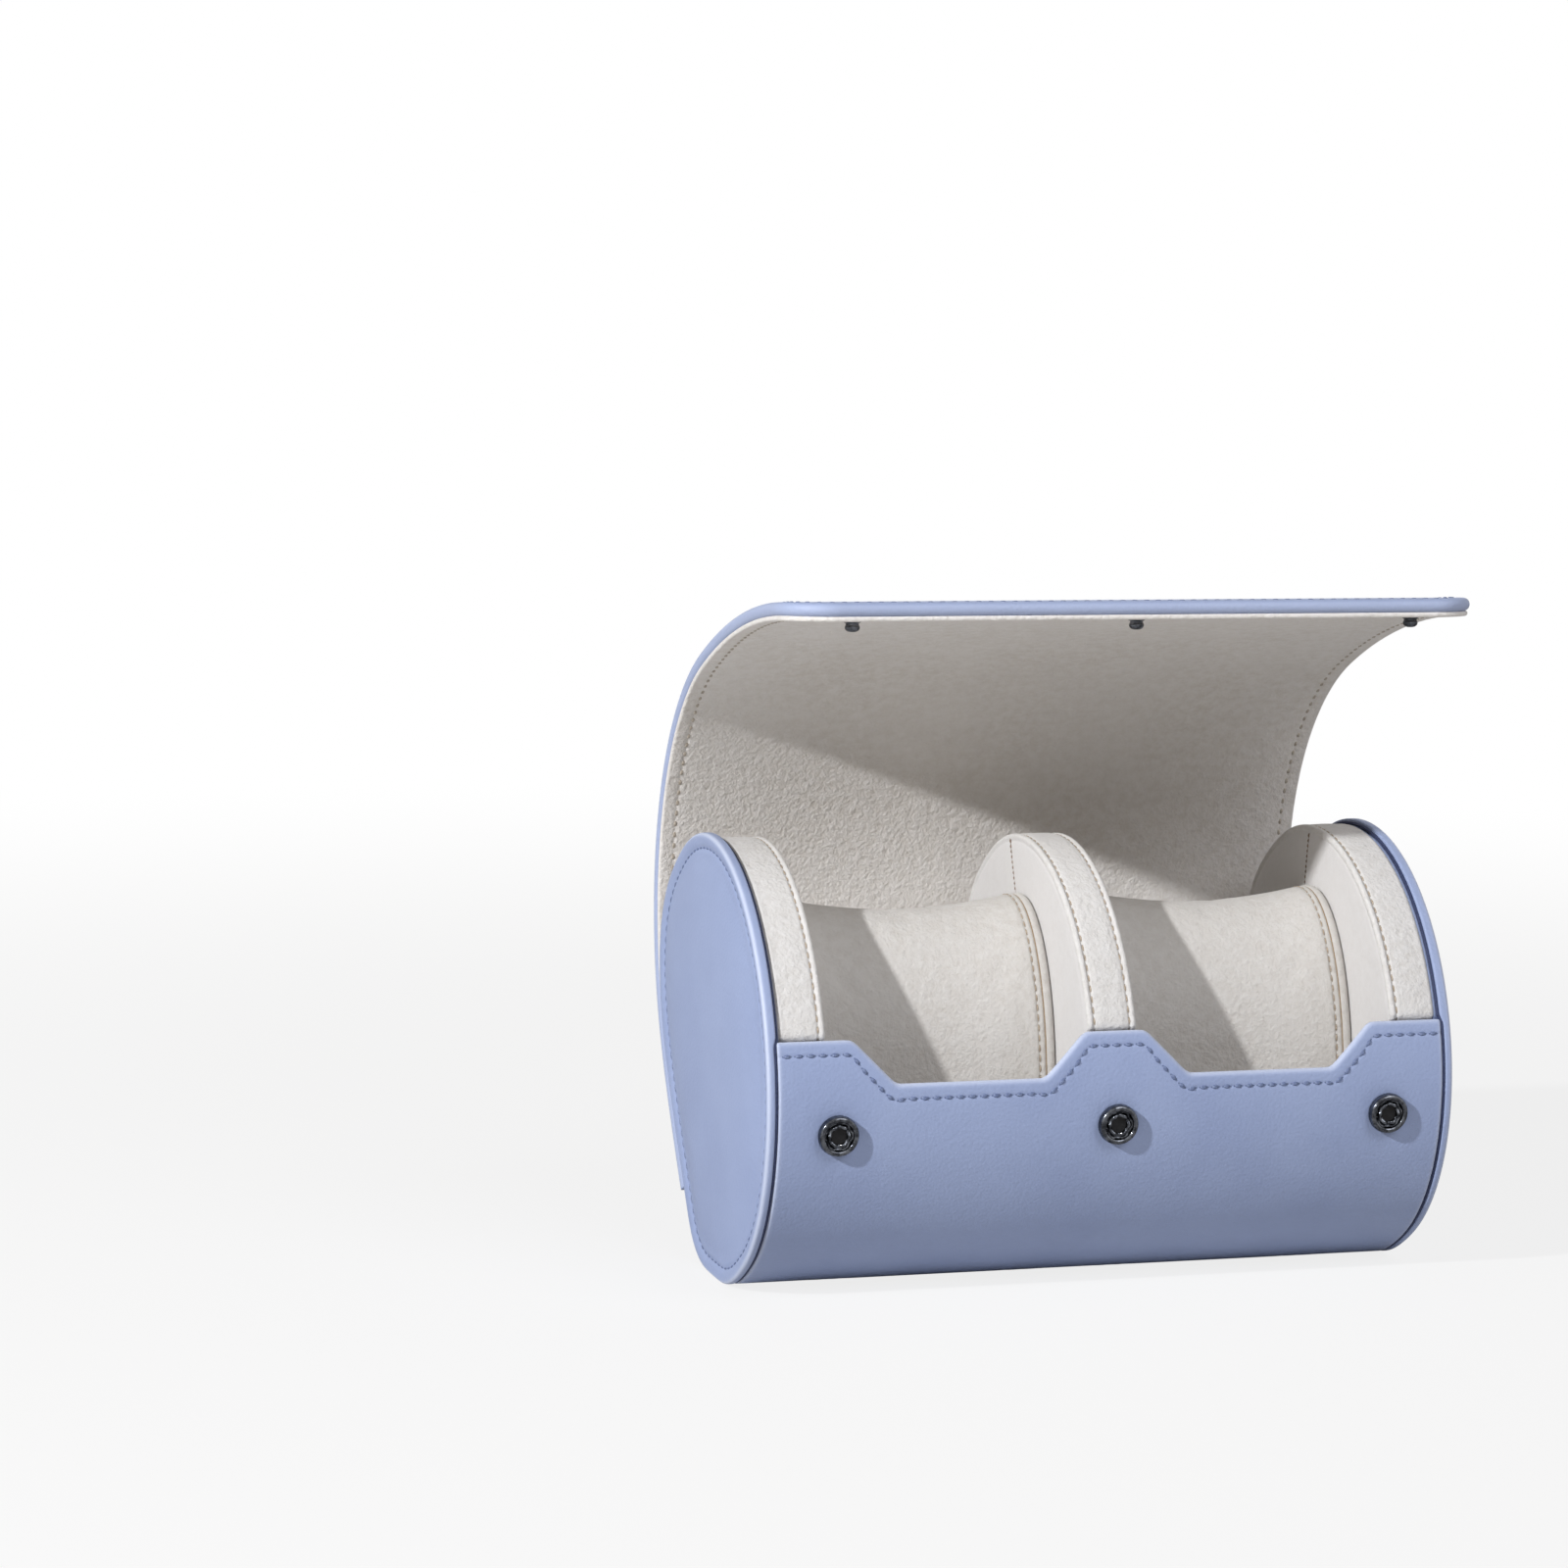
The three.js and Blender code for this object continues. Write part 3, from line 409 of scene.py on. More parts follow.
# Distances in from a border where rows lie close together: at its rounding and at the stitch line
NEAR_EDGE = np.array([0, 0.02, 0.09, 0.2, 0.36, 0.58, 0.85, 1.2, 1.7, 2.3, 2.75, 3.05, 3.25, 3.4,
                      3.5, 3.6, 3.75, 3.95, 4.25, 4.8, 5.8, 7.4, 9.4, 12.0])


def spread(low, high, step, near_low=None, near_high=None):
    """Stations from low to high, a step apart at most, with the listed distances in from each end."""
    low_part = [] if near_low is None else low + near_low
    high_part = [] if near_high is None else high - near_high[::-1]
    a = low if near_low is None else low_part[-1]
    b = high if near_high is None else high_part[0]
    middle = np.linspace(a, b, max(int(math.ceil((b - a) / step)), 1) + 1)
    return np.unique(np.round(np.concatenate([low_part, middle, high_part]), 5))


CAPSULE_SIDES = 6
CAPSULE_STATIONS = np.array([-1, -0.8, -0.3, 0.3, 0.8, 1])
CAPSULE_WIDTHS = np.array([0.25, 0.85, 1, 1, 0.85, 0.25])


def stitches(name, middles, along, out, thread, hole_shade, length=STITCH_LENGTH, radius=THREAD_RADIUS):
    """Rows of stitches: each is a tube of six sides along its own way, whose ends taper and dip as
    the square of the distance from its middle, with a small dark six-sided disc past each end: painted shade
    for its needle hole."""
    count = len(middles)
    across = np.cross(along, out)
    turn = 2 * np.pi * np.arange(CAPSULE_SIDES) / CAPSULE_SIDES
    t = CAPSULE_STATIONS[:, None] * length / 2
    wide = CAPSULE_WIDTHS[:, None] * radius
    local = np.stack(np.broadcast_arrays(t, wide * np.cos(turn), wide * np.sin(turn) * 0.8
                     + radius * (0.15 - 1.1 * CAPSULE_STATIONS[:, None] ** 4)), -1).reshape(-1, 3)
    axes = np.stack([along, across, out], 1)
    tubes = middles[:, None] + np.einsum("vk,nkc->nvc", local, axes)
    size = len(local)
    ids = np.arange(size).reshape(len(CAPSULE_STATIONS), CAPSULE_SIDES)
    tube_quads = (quads(ids, close=True)[None] + size * np.arange(count)[:, None, None]).reshape(-1, 4)
    starts = size * np.arange(count)[:, None, None]
    caps = (np.stack([ids[0][::-1], ids[-1]])[None] + starts).reshape(-1, CAPSULE_SIDES)
    tube_points = tubes.reshape(-1, 3)
    ring = np.stack([np.cos(turn), np.sin(turn), 0 * turn], -1)
    shell = np.concatenate([ring * (radius * HOLE_SHARE, radius * HOLE_SHARE, 1) + (0, 0, 0.06),
                            [[0, 0, 0.08]], [[0, 0, -0.3]]])
    shift = np.array([[-1, 0, 0], [1, 0, 0]]) * (length / 2 + HOLE_PAST_STITCH)
    both = (shell[None] + shift[:, None]).reshape(-1, 3)
    hole_points = (middles[:, None] + np.einsum("vk,nkc->nvc", both, axes)).reshape(-1, 3)
    top, under = CAPSULE_SIDES, CAPSULE_SIDES + 1
    edge = np.arange(CAPSULE_SIDES)
    one = np.concatenate([fan(edge, top), fan(edge[::-1], under)])
    hole_faces = (one[None] + (CAPSULE_SIDES + 2) * np.arange(2 * count)[:, None, None]).reshape(-1, 3)
    faces = [tube_quads, caps, hole_faces + len(tube_points)]
    indices = [np.zeros(len(tube_quads)), np.zeros(len(caps)), np.ones(len(hole_faces))]
    points = np.concatenate([tube_points, hole_points])
    return make_piece(name, points, faces, [thread, hole_shade], indices)


def stitch_places(path, pitch=STITCH_PITCH, closed=False):
    """Middles of stitches, a pitch apart along a line of points, and the line's way at each."""
    line = np.concatenate([path, path[:1]]) if closed else path
    lengths = np.concatenate([[0], np.cumsum(np.linalg.norm(np.diff(line, axis=0), axis=1))])
    count = int(round(lengths[-1] / pitch)) if closed else int(lengths[-1] / pitch)
    middles = (np.arange(count) + 0.5) * (lengths[-1] / count)
    pick = lambda at: np.stack([np.interp(at, lengths, line[:, k]) for k in range(3)], -1)
    along = pick(np.minimum(middles + 0.6, lengths[-1])) - pick(np.maximum(middles - 0.6, 0))
    return pick(middles), along / np.linalg.norm(along, axis=1, keepdims=True), middles, lengths


def lathe(name, profile, place, way, sides, material, petals=None):
    """A turned solid: a closed profile of (radius, height) carried round the way out at a place. Petals
    are (number, radius, width, depth): the height waves round as the cosine of number times the turn."""
    way = way / np.linalg.norm(way)
    side = np.array([1.0, 0, 0])
    third = np.cross(way, side)
    turn = 2 * np.pi * np.arange(sides) / sides
    profile = np.array(profile, float)
    round_part = np.cos(turn)[:, None] * side + np.sin(turn)[:, None] * third
    height = np.repeat(profile[:, 1:2], sides, 1)
    if petals:
        number, radius, width, depth = petals
        there = np.exp(-(((profile[:, 0:1] - radius) / width) ** 4)) * (profile[:, 1:2] > 0.65)
        height = height - depth * there * (0.5 - 0.5 * np.cos(number * turn)[None])
    rings = place + height[..., None] * way + profile[:, None, 0:1] * round_part[None]
    points, faces = rings_to_faces(rings)
    return make_piece(name, points, faces, [material], crease=60)


# ---------------------------------------------------------------- materials

def linear(hex_colour):
    """An sRGB hex colour as linear light."""
    values = [int(hex_colour[k:k + 2], 16) / 255 for k in (1, 3, 5)]
    return tuple(v / 12.92 if v <= 0.04045 else ((v + 0.055) / 1.055) ** 2.4 for v in values) + (1.0,)


def per_mm(size):
    """A texture's scale on Object coordinates in metres, for a feature of this many millimetres."""
    return 1 / (size * MM)


def new_material(name):
    material = bpy.data.materials.new(name)
    material.use_nodes = True
    material.node_tree.nodes.clear()
    return material, material.node_tree


def node(tree, kind, inputs=None, **settings):
    """Adds one node, with its settings, and with values or links for its sockets."""
    made = tree.nodes.new("ShaderNode" + kind)
    for key, value in settings.items():
        setattr(made, key, value)
    for key, value in (inputs or {}).items():
        if isinstance(value, bpy.types.NodeSocket):
            tree.links.new(value, made.inputs[key])
        else:
            made.inputs[key].default_value = value
    return made


def two_tones(tree, noise, low, low_colour, high, high_colour):
    """A ramp over a noise's value, from one hex colour at low to another at high."""
    tone = node(tree, "ValToRGB", {"Fac": noise.outputs["Fac"]})
    for stop, place, colour in zip(tone.color_ramp.elements, (low, high), (low_colour, high_colour)):
        stop.position, stop.color = place, linear(colour)
    return tone


def relief(tree, height, depth, strength=0.6, under=None, **settings):
    """A bump of this many millimetres over a texture's output, laid on the bump under it."""
    inputs = {"Height": height, "Distance": depth * MM, "Strength": strength}
    if under:
        inputs["Normal"] = under.outputs["Normal"]
    return node(tree, "Bump", inputs, **settings)


def surface(tree, colour, bump, **inputs):
    """The principled shader under the output, its other inputs named with _ for a space."""
    named = {key.replace("_", " "): value for key, value in inputs.items()}
    shader = node(tree, "BsdfPrincipled", {"Base Color": colour, "Normal": bump.outputs["Normal"], **named})
    node(tree, "OutputMaterial", {"Surface": shader.outputs["BSDF"]})


def calf_leather(name, base, low, worn):
    # Calf leather, drum-dyed, pressed with a fine grain and given a satin finish.
    # The eye sees pebbles of under a millimetre and a faint cloudiness. Its paler edges are partly wear and
    # partly a painted highlight, where light would catch the rolled edge.
    material, tree = new_material(name)
    at = node(tree, "TexCoord").outputs["Object"]
    cloud = node(tree, "TexNoise", {"Vector": at, "Scale": per_mm(26), "Detail": 3.0, "Roughness": 0.55})
    tone = two_tones(tree, cloud, 0.36, low, 0.64, base)
    # The edge attribute makes the borders paler: partly wear, partly a painted highlight
    edge = node(tree, "Attribute", attribute_name="edge", attribute_type="GEOMETRY")
    colour = node(tree, "Mix", {"Factor": edge.outputs["Fac"], "A": tone.outputs["Color"],
                                "B": linear(worn)}, data_type="RGBA")
    # Grain cells 0.8 mm across, drawn a little coarser than the real 0.5 mm so that they show
    cells = node(tree, "TexVoronoi", {"Vector": at, "Scale": per_mm(0.85), "Randomness": 1.0}, feature="F1")
    pores = node(tree, "TexNoise", {"Vector": at, "Scale": per_mm(0.5), "Detail": 2.0})
    cell_bump = relief(tree, cells.outputs["Distance"], 0.09, invert=True)
    grain = relief(tree, pores.outputs["Fac"], 0.05, under=cell_bump)
    rough = node(tree, "MapRange", {"Value": cloud.outputs["Fac"], "To Min": 0.46, "To Max": 0.6})
    surface(tree, colour.outputs["Result"], grain, IOR=1.47, Roughness=rough.outputs["Result"],
            Specular_IOR_Level=0.42, Sheen_Weight=0.06, Sheen_Roughness=0.4)
    return material


def split_suede(name, pale, deep, crinkle=1.0):
    # Microfibre suede glued over foam and board: napped and matt, with pebbles of about a millimetre
    # that grazing light picks out, and painted shade: a little deeper in colour down in the crinkle's
    # hollows.
    material, tree = new_material(name)
    at = node(tree, "TexCoord").outputs["Object"]
    pebbles = node(tree, "TexVoronoi", {"Vector": at, "Scale": per_mm(1.3), "Detail": 1.0,
                                        "Roughness": 0.6, "Smoothness": 0.8}, feature="SMOOTH_F1")
    crinkle_and_shade = node(tree, "TexNoise", {"Vector": at, "Scale": per_mm(2.4), "Detail": 5.0, "Roughness": 0.75})
    nap = node(tree, "TexNoise", {"Vector": at, "Scale": per_mm(0.7), "Detail": 2.0, "Roughness": 0.6})
    cloud = node(tree, "TexNoise", {"Vector": at, "Scale": per_mm(30), "Detail": 2.0})
    # The deep colour lies where the crinkle bump is low: painted shade in its hollows
    tone = two_tones(tree, crinkle_and_shade, 0.34, deep, 0.6, pale)
    shade = node(tree, "Mix", {"Factor": cloud.outputs["Fac"], "A": tone.outputs["Color"],
                               "B": linear(pale)}, data_type="RGBA")
    fold = relief(tree, crinkle_and_shade.outputs["Fac"], 0.42 * crinkle, 0.8)
    pebble = relief(tree, pebbles.outputs["Distance"], 0.2 * crinkle, under=fold, invert=True)
    fuzz = relief(tree, nap.outputs["Fac"], 0.1, under=pebble)
    surface(tree, shade.outputs["Result"], fuzz, Roughness=0.95, IOR=1.45, Specular_IOR_Level=0.15,
            Sheen_Weight=0.15, Sheen_Roughness=0.5)
    return material


def plied_thread(name, colour, shade):
    # Waxed polyester thread in three plies: a soft gleam and a fine twist, drawn 0.4 mm apart.
    material, tree = new_material(name)
    at = node(tree, "TexCoord").outputs["Object"]
    twist = node(tree, "TexNoise", {"Vector": at, "Scale": per_mm(0.4), "Detail": 1.0})
    tone = two_tones(tree, twist, 0.35, shade, 0.65, colour)
    surface(tree, tone.outputs["Color"], relief(tree, twist.outputs["Fac"], 0.06), Roughness=0.5, IOR=1.5)
    return material


def black_nickel():
    # Brass snaps plated with black nickel and tumbled: dark, mirror-like, a few soft scuffs.
    material, tree = new_material("black_nickel_plate")
    at = node(tree, "TexCoord").outputs["Object"]
    scuff = node(tree, "TexNoise", {"Vector": at, "Scale": per_mm(1.6), "Detail": 4.0, "Roughness": 0.7})
    rough = node(tree, "MapRange", {"Value": scuff.outputs["Fac"], "To Min": 0.1, "To Max": 0.26})
    tone = two_tones(tree, scuff, 0.38, "#34363b", 0.66, "#777a80")
    surface(tree, tone.outputs["Color"], relief(tree, scuff.outputs["Fac"], 0.05, 0.5), Metallic=1.0,
            Roughness=rough.outputs["Result"])
    return material


def matt_stuff(name, colour, shade, grain, depth, roughness=0.95):
    # Matt stuff with a grain of its own: pressed fibre board, open foam, edge dye, and painted shade in
    # needle holes, seams and snap bores.
    material, tree = new_material(name)
    at = node(tree, "TexCoord").outputs["Object"]
    speck = node(tree, "TexNoise", {"Vector": at, "Scale": per_mm(grain), "Detail": 4.0, "Roughness": 0.65})
    tone = two_tones(tree, speck, 0.35, shade, 0.62, colour)
    surface(tree, tone.outputs["Color"], relief(tree, speck.outputs["Fac"], depth), Roughness=roughness,
            IOR=1.5, Specular_IOR_Level=0.3)
    return material


# The last colour is the paler edge: partly wear, partly a painted highlight on the rolled edge
LEATHER = calf_leather("calf_leather_periwinkle", "#9ba9cb", "#95a3c6", "#c4cde3")
# The second colour of each suede below is painted shade, laid down in the hollows of its crinkle
LINING = split_suede("microfibre_suede_lining", "#ede9e4", "#dad3c9", 1.35)
PAD_SUEDE = split_suede("microfibre_suede_pads", "#dfddda", "#d0ccc6", 1.2)
CUSHION_SUEDE = split_suede("microfibre_suede_cushions", "#d3d0cb", "#c3bdb5", 1.0)
FACE_SUEDE = split_suede("microfibre_suede_stretched", "#dddbd9", "#d7d4d1", 0.25)
# The blue thread is darker than the leather, partly its own colour and partly painted shade round the sunk
# stitches
LEATHER_THREAD = plied_thread("waxed_thread_blue", "#74819f", "#5f6c90")
SUEDE_THREAD = plied_thread("waxed_thread_cream", "#c2b19b", "#a8967f")
LINING_THREAD = plied_thread("waxed_thread_stone", "#c2b8aa", "#aba091")
SEAM_THREAD = plied_thread("waxed_thread_brown", "#8d7664", "#735f4f")
# Needle holes on leather and on suede: small dark discs that are painted shade
NEEDLE_HOLE_SHADE = matt_stuff("needle_hole_shade", "#76839f", "#67749a", 0.4, 0.02)
SUEDE_HOLE_SHADE = matt_stuff("needle_hole_shade_brown", "#978776", "#837363", 0.4, 0.02)
# Dark navy for the cord between cap and wrap: partly edge dye, partly painted shade in the groove
SEAM_DYE_AND_SHADE = matt_stuff("edge_dye_and_shade_navy", "#363f60", "#262d48", 0.5, 0.03, 0.6)
# Brown for the cushion seams: painted shade in the fold where sleeve meets panel
SEAM_SHADE = matt_stuff("suede_seam_fold_shade", "#b09a80", "#9a856d", 0.5, 0.03)
NICKEL = black_nickel()
# Near-black for the disc in each snap's bore: partly the spring's lacquer, partly painted shade of the hole
BORE_LACQUER_AND_SHADE = matt_stuff("snap_spring_lacquer_and_shade", "#141416", "#0b0b0d", 0.6, 0.02, 0.5)
BOARD = matt_stuff("pressed_fibre_board", "#a89478", "#94806a", 0.7, 0.05)
FOAM = matt_stuff("open_cell_foam", "#e6e0d0", "#cfc8b6", 0.8, 0.2)

# ---- nodes that stay as they are get the finish of what they are ----
for name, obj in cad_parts.items():
    finish = NICKEL if "washer" in name or "snap" in name else BOARD if "board" in name else FOAM
    for item in obj.material_slots:
        item.material = finish


def dress(piece, body, nodes=()):
    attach(piece, body)
    if nodes:
        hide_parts(*nodes)
    return piece


# ---------------------------------------------------------------- wrap

EDGE_X = np.linspace(-WRAP_END, WRAP_END, 1641)
EDGE_STEP = EDGE_X[1] - EDGE_X[0]


def smoothed(values, reach):
    """The average of each value with its neighbours within reach, its ends repeated outwards."""
    count = int(round(reach / EDGE_STEP))
    padded = np.pad(values, count, mode="edge")
    return np.convolve(padded, np.full(2 * count + 1, 1 / (2 * count + 1)), mode="valid")


def edge_line():
    """The scalloped edge: high at the tabs and low at the notches, with straight slopes and
    corners rounded by averaging twice. The second value is how much longer the way in is on a slope."""
    x = np.abs(EDGE_X)
    inward = np.clip((x - CENTRE_TAB_HALF_WIDTH) / TAB_SLOPE_WIDTH, 0, 1)
    outward = np.clip((WRAP_END - END_TAB_WIDTH - x) / TAB_SLOPE_WIDTH, 0, 1)
    s = TAB_STATION + (NOTCH_STATION - TAB_STATION) * np.minimum(inward, outward)
    s = smoothed(smoothed(s, 0.9), 0.7)
    slope = np.gradient(s, EDGE_X)
    return s, smoothed(np.sqrt(1 + slope**2), 1.6)


EDGE_S, EDGE_STRETCH = edge_line()


def wrap_place(x, distance):
    """The station a distance in from the scalloped edge at x, a little more on a slope near the edge."""
    extra = (np.interp(x, EDGE_X, EDGE_STRETCH) - 1) * np.exp(-((distance / STRETCH_FADE) ** 2))
    return np.interp(x, EDGE_X, EDGE_S) - distance * (1 + extra)


SNAP_X = {"left": -(HALF_LENGTH - SNAP_FROM_END), "middle": 0.0, "right": HALF_LENGTH - SNAP_FROM_END}


def wrap_sheet(edge_inset, side_inset, middle_out, half, edge_radius, side_radius, under, near_step, dimple):
    """The wrap as a thick sheet. Rows run in from the scalloped edge, columns along the roll, and a
    grid point lies on the outline at its station, out by the middle plus or minus half the
    thickness, which falls to nothing at the border along a quarter circle."""
    reach = WRAP_END - side_inset
    x = spread(-reach, reach, near_step, NEAR_EDGE[:9], NEAR_EDGE[:9])
    deep = np.concatenate([NEAR_EDGE, np.arange(14, 138, 2.0)])
    distance, xs = np.meshgrid(deep, x, indexing="ij")
    s = wrap_place(xs, distance + edge_inset)
    share = (distance - STRAIGHT_FROM) / (deep[-1] - STRAIGHT_FROM)
    s = np.where(share > 0, s * (1 - share) + under * share, s)
    from_side = reach - np.abs(xs)
    thick = rounded(distance, edge_radius)
    start = rounded(deep[-1] - distance, edge_radius)
    outer = half * thick * start * rounded(from_side, side_radius)
    inner = half * thick * start * rounded(from_side, min(side_radius, 0.12))
    if dimple:
        outer = outer - 0.12 * groove(distance, STITCH_FROM_EDGE, 0.4)
        point_s = s - SOCKET_STATION
        for at in SNAP_X.values():
            outer = outer - SNAP_DIMPLE * np.exp(-((np.hypot(xs - at, point_s) / SNAP_DIMPLE_RADIUS) ** 4))
    front = on_outline(s, middle_out + outer, xs, worn=True)
    back = on_outline(s, middle_out - inner, xs, worn=True)
    points, faces, free = sheet_to_faces(front, back)
    # Paler near the border: partly wear, partly a painted highlight on the rolled edge
    worn = np.exp(-((np.minimum(distance, from_side) / EDGE_WEAR_AND_HIGHLIGHT_WIDTH) ** 2))
    return points, faces, np.concatenate([worn.ravel(), worn[free]])


points, faces, worn = wrap_sheet(0, 0.3, -1.2, 1.2, 1.2, 0.7, 0.3, 1.0, True)
dress(make_piece("wrap_cover", points, faces, [LEATHER], edge=worn), "barrel",
      ["wrap_leather", "wrap_board"])
points, faces, _ = wrap_sheet(2.8, 0.4, -2.78, 0.42, 0.4, 0.3, 0.6, 2.0, False)
dress(make_piece("wrap_inner_suede", points, faces, [LINING]), "barrel", ["wrap_lining"])

edge_x = np.linspace(-WRAP_END + 1.2, WRAP_END - 1.2, 700)
path = on_outline(wrap_place(edge_x, STITCH_FROM_EDGE), 0.0, edge_x)
middle, along, _, _ = stitch_places(path)
out = outline_at(wrap_place(middle[:, 0], STITCH_FROM_EDGE))[1]
out = np.concatenate([np.zeros((len(out), 1)), out], 1)
piece = stitches("wrap_edge_stitches", middle - out * STITCH_SINK, along, out, LEATHER_THREAD, NEEDLE_HOLE_SHADE)
dress(piece, "barrel")


# ---------------------------------------------------------------- end caps and pads

RING_S = OUTLINE_LENGTH * np.arange(RING_SAMPLES) / RING_SAMPLES
SEAT = seat_depth(RING_S)


def section_ring(x, inset, share=1.0, worn=False):
    """A ring on the outline, in by the inset, then drawn towards the axis to a share of its size."""
    ring = on_outline(RING_S, -np.broadcast_to(inset, RING_S.shape), x, worn)
    centre = np.array([x, AXIS_SETBACK, AXIS_HEIGHT])
    return centre + (ring - centre) * (1, share, share)


def rings_from(profile, end):
    """Rings from a profile of (x, inset, follows the seat or not, share), mirrored to one end."""
    return np.array([section_ring(end * x, inset + (SEAT if seated else 0.0), share)
                     for x, inset, seated, share in profile])


# 1 where the mouth is open and the cap's neck shows, 0 where the wrap covers it
OPENNESS = (WRAP_THICKNESS + FIT_GAP - SEAT) / (WRAP_THICKNESS + FIT_GAP - CAP_SKIN / 2)


def arc(centre_x, centre_inset, radius, start, stop, steps):
    """Profile points on an arc. An angle of 0 looks along the roll and 90 out of the outline."""
    angles = np.radians(np.linspace(start, stop, steps))
    return [(centre_x + radius * math.cos(a), centre_inset - radius * math.sin(a), 1.0) for a in angles]


def cap_profile(openness):
    """The cap from the middle of its dome out to the rim and back in along its neck, as (x, inset,
    share) for a closed place (openness 0) or for the mouth (1). The dome's height is one less the
    fourth power of its share, with a stitched valley round it."""
    outer = HALF_LENGTH
    inside = 6.4
    back = outer - RIM_WIDTH - MOUTH_RIM_EXTRA * openness
    seat = (WRAP_THICKNESS + FIT_GAP) * (1 - openness) + (CAP_SKIN / 2 + MOUTH_NECK_SINK) * openness
    dome = [(outer - 0.35 + CAP_DOME_HEIGHT * (1 - share**4), inside, share)
            for share in np.concatenate([np.linspace(0.02, 0.9, 16), [0.94, 0.97, 0.985]])]
    valley = [(outer - drop, inset, 1.0) for drop, inset in (
        (0.38, 6.0), (0.42, 5.2), (0.48, 4.6), (0.6, 4.25), (CAP_STITCH_DROP, 3.9), (0.78, CAP_STITCH_INSET),
        (0.7, 3.4), (0.48, 3.05), (0.3, 2.7), (0.16, 2.2), (0.05, 1.6))]
    rim = arc(outer - 1.05, 1.05, 1.05, 0, 90, 9) + [((outer - 1.05 + back + 0.5) / 2, 0.0, 1.0)]
    rim += arc(back + 0.5, 0.5, 0.5, 90, 180, 6)
    neck = [(back, seat + 0.08, 1.0), (back - 0.1, seat, 1.0), (outer - CAP_DEPTH + 0.5, seat, 1.0),
            (outer - CAP_DEPTH + 0.22, seat + 0.25, 1.0),
            (outer - CAP_DEPTH + GLUE_GAP, seat + CAP_SKIN, 1.0),
            (outer - 2.4, seat + CAP_SKIN + 0.2, 1.0), (outer - 1.9, 6.6, 1.0)]
    inner = [(outer - 1.6 + (CAP_DOME_HEIGHT - 0.4) * (1 - share**4), inside, share)
             for share in (0.9, 0.7, 0.4, 0.02)]
    return np.array(dome + valley + rim + neck + inner)


CAP_CLOSED, CAP_MOUTH = cap_profile(0), cap_profile(1)
# The cap is paler round the outer corner of its rim roll: partly wear, partly a painted highlight
CAP_RIM_WEAR_AND_HIGHLIGHT = np.exp(-((np.hypot(CAP_CLOSED[:, 0] - HALF_LENGTH + 0.3, CAP_CLOSED[:, 1] - 0.3) / 0.55) ** 2))


def cap_ring(closed, mouth, end):
    """A ring of the cap whose place and inset run from the closed profile to the mouth's."""
    x, inset = (closed[k] + (mouth[k] - closed[k]) * OPENNESS for k in (0, 1))
    ring = section_ring(0, inset, closed[2], worn=True)
    ring[:, 0] = end * x
    return ring


for side, end in (("left", -1), ("right", 1)):
    points, faces = rings_to_faces(np.array([cap_ring(a, b, end) for a, b in zip(CAP_CLOSED, CAP_MOUTH)]))
    worn = np.append(np.repeat(CAP_RIM_WEAR_AND_HIGHLIGHT, RING_SAMPLES), [0, 0])
    cap = make_piece(f"{side}_cap_cover", points, faces, [LEATHER], edge=worn, crease=70)
    dress(cap, "barrel", [f"{side}_cap_leather"])
    path = section_ring(end * (HALF_LENGTH - CAP_STITCH_DROP), CAP_STITCH_INSET, worn=True)
    middle, along, _, _ = stitch_places(path, CAP_STITCH_PITCH, closed=True)
    out = np.tile([float(end), 0, 0], (len(middle), 1))
    piece = stitches(f"{side}_cap_stitches", middle, along, out, LEATHER_THREAD, NEEDLE_HOLE_SHADE,
                     CAP_STITCH_LENGTH, CAP_THREAD_RADIUS)
    dress(piece, "barrel")
    # A dark navy cord in the groove between cap and wrap: partly edge dye, partly painted shade in the
    # groove
    seam_x = end * (WRAP_END - 0.05 - MOUTH_RIM_EXTRA * OPENNESS)
    seam_inset = 0.62 + 0.4 * OPENNESS
    cord = np.array([section_ring(0, seam_inset - SEAM_CORD_RADIUS * math.sin(a), worn=True)
                     for a in SMALL_RING])
    cord[:, :, 0] = seam_x + SEAM_CORD_RADIUS * np.cos(SMALL_RING)[:, None]
    points, faces = rings_to_faces(cord, joined=True)
    dress(make_piece(f"{side}_cap_seam", points, faces, [SEAM_DYE_AND_SHADE]), "barrel")


def pad_profile(face, thickness, below):
    """A padded disc's cover as (x, inset, follows the seat, share), from its back edge over the band
    and the piping to the middle of its face. The band sinks by a parabola to an arch's depth, the
    piping is an arc, and the face stands out less by the square root of one less the share."""
    band = [(thickness, 1.3), (thickness - 0.12, 0.6), (thickness - 0.45, 0.2), (thickness - 0.9, 0.05)]
    start = thickness - 1.2
    stations = np.linspace(start, 2.7, 9)
    arch = 0.3 * (1 - ((stations - start) / (2.7 - start) * 2 - 1) ** 2)
    band += [(t, 0.1 - rise * 0.4) for t, rise in zip(stations, arch)]
    band += [(2.3, 0.12), (2.0, 0.2), (1.82, 0.4), (1.66, 0.42)]
    bead = [(0.82 + 0.78 * math.cos(a), 0.8 - 0.78 * math.sin(a))
            for a in np.radians(np.linspace(24, 196, 12))]
    face_part = [(0.16, 1.3), (0.3, 1.6), (0.34, 1.75), (0.26, 1.95), (0.16, 2.6), (0.12, 4.2), (0.08, 6.0)]
    profile = [(face + t, q + below, True, 1.0) for t, q in band + bead + face_part]
    inner = np.concatenate([[0.985, 0.95, 0.9], np.linspace(0.82, 0.02, 9)])
    return profile + [(face + 0.08 - 0.06 * math.sqrt(1 - share), 6.0 + below, True, share)
                      for share in inner]


PAD_COVERS = [PAD_SUEDE, FACE_SUEDE]


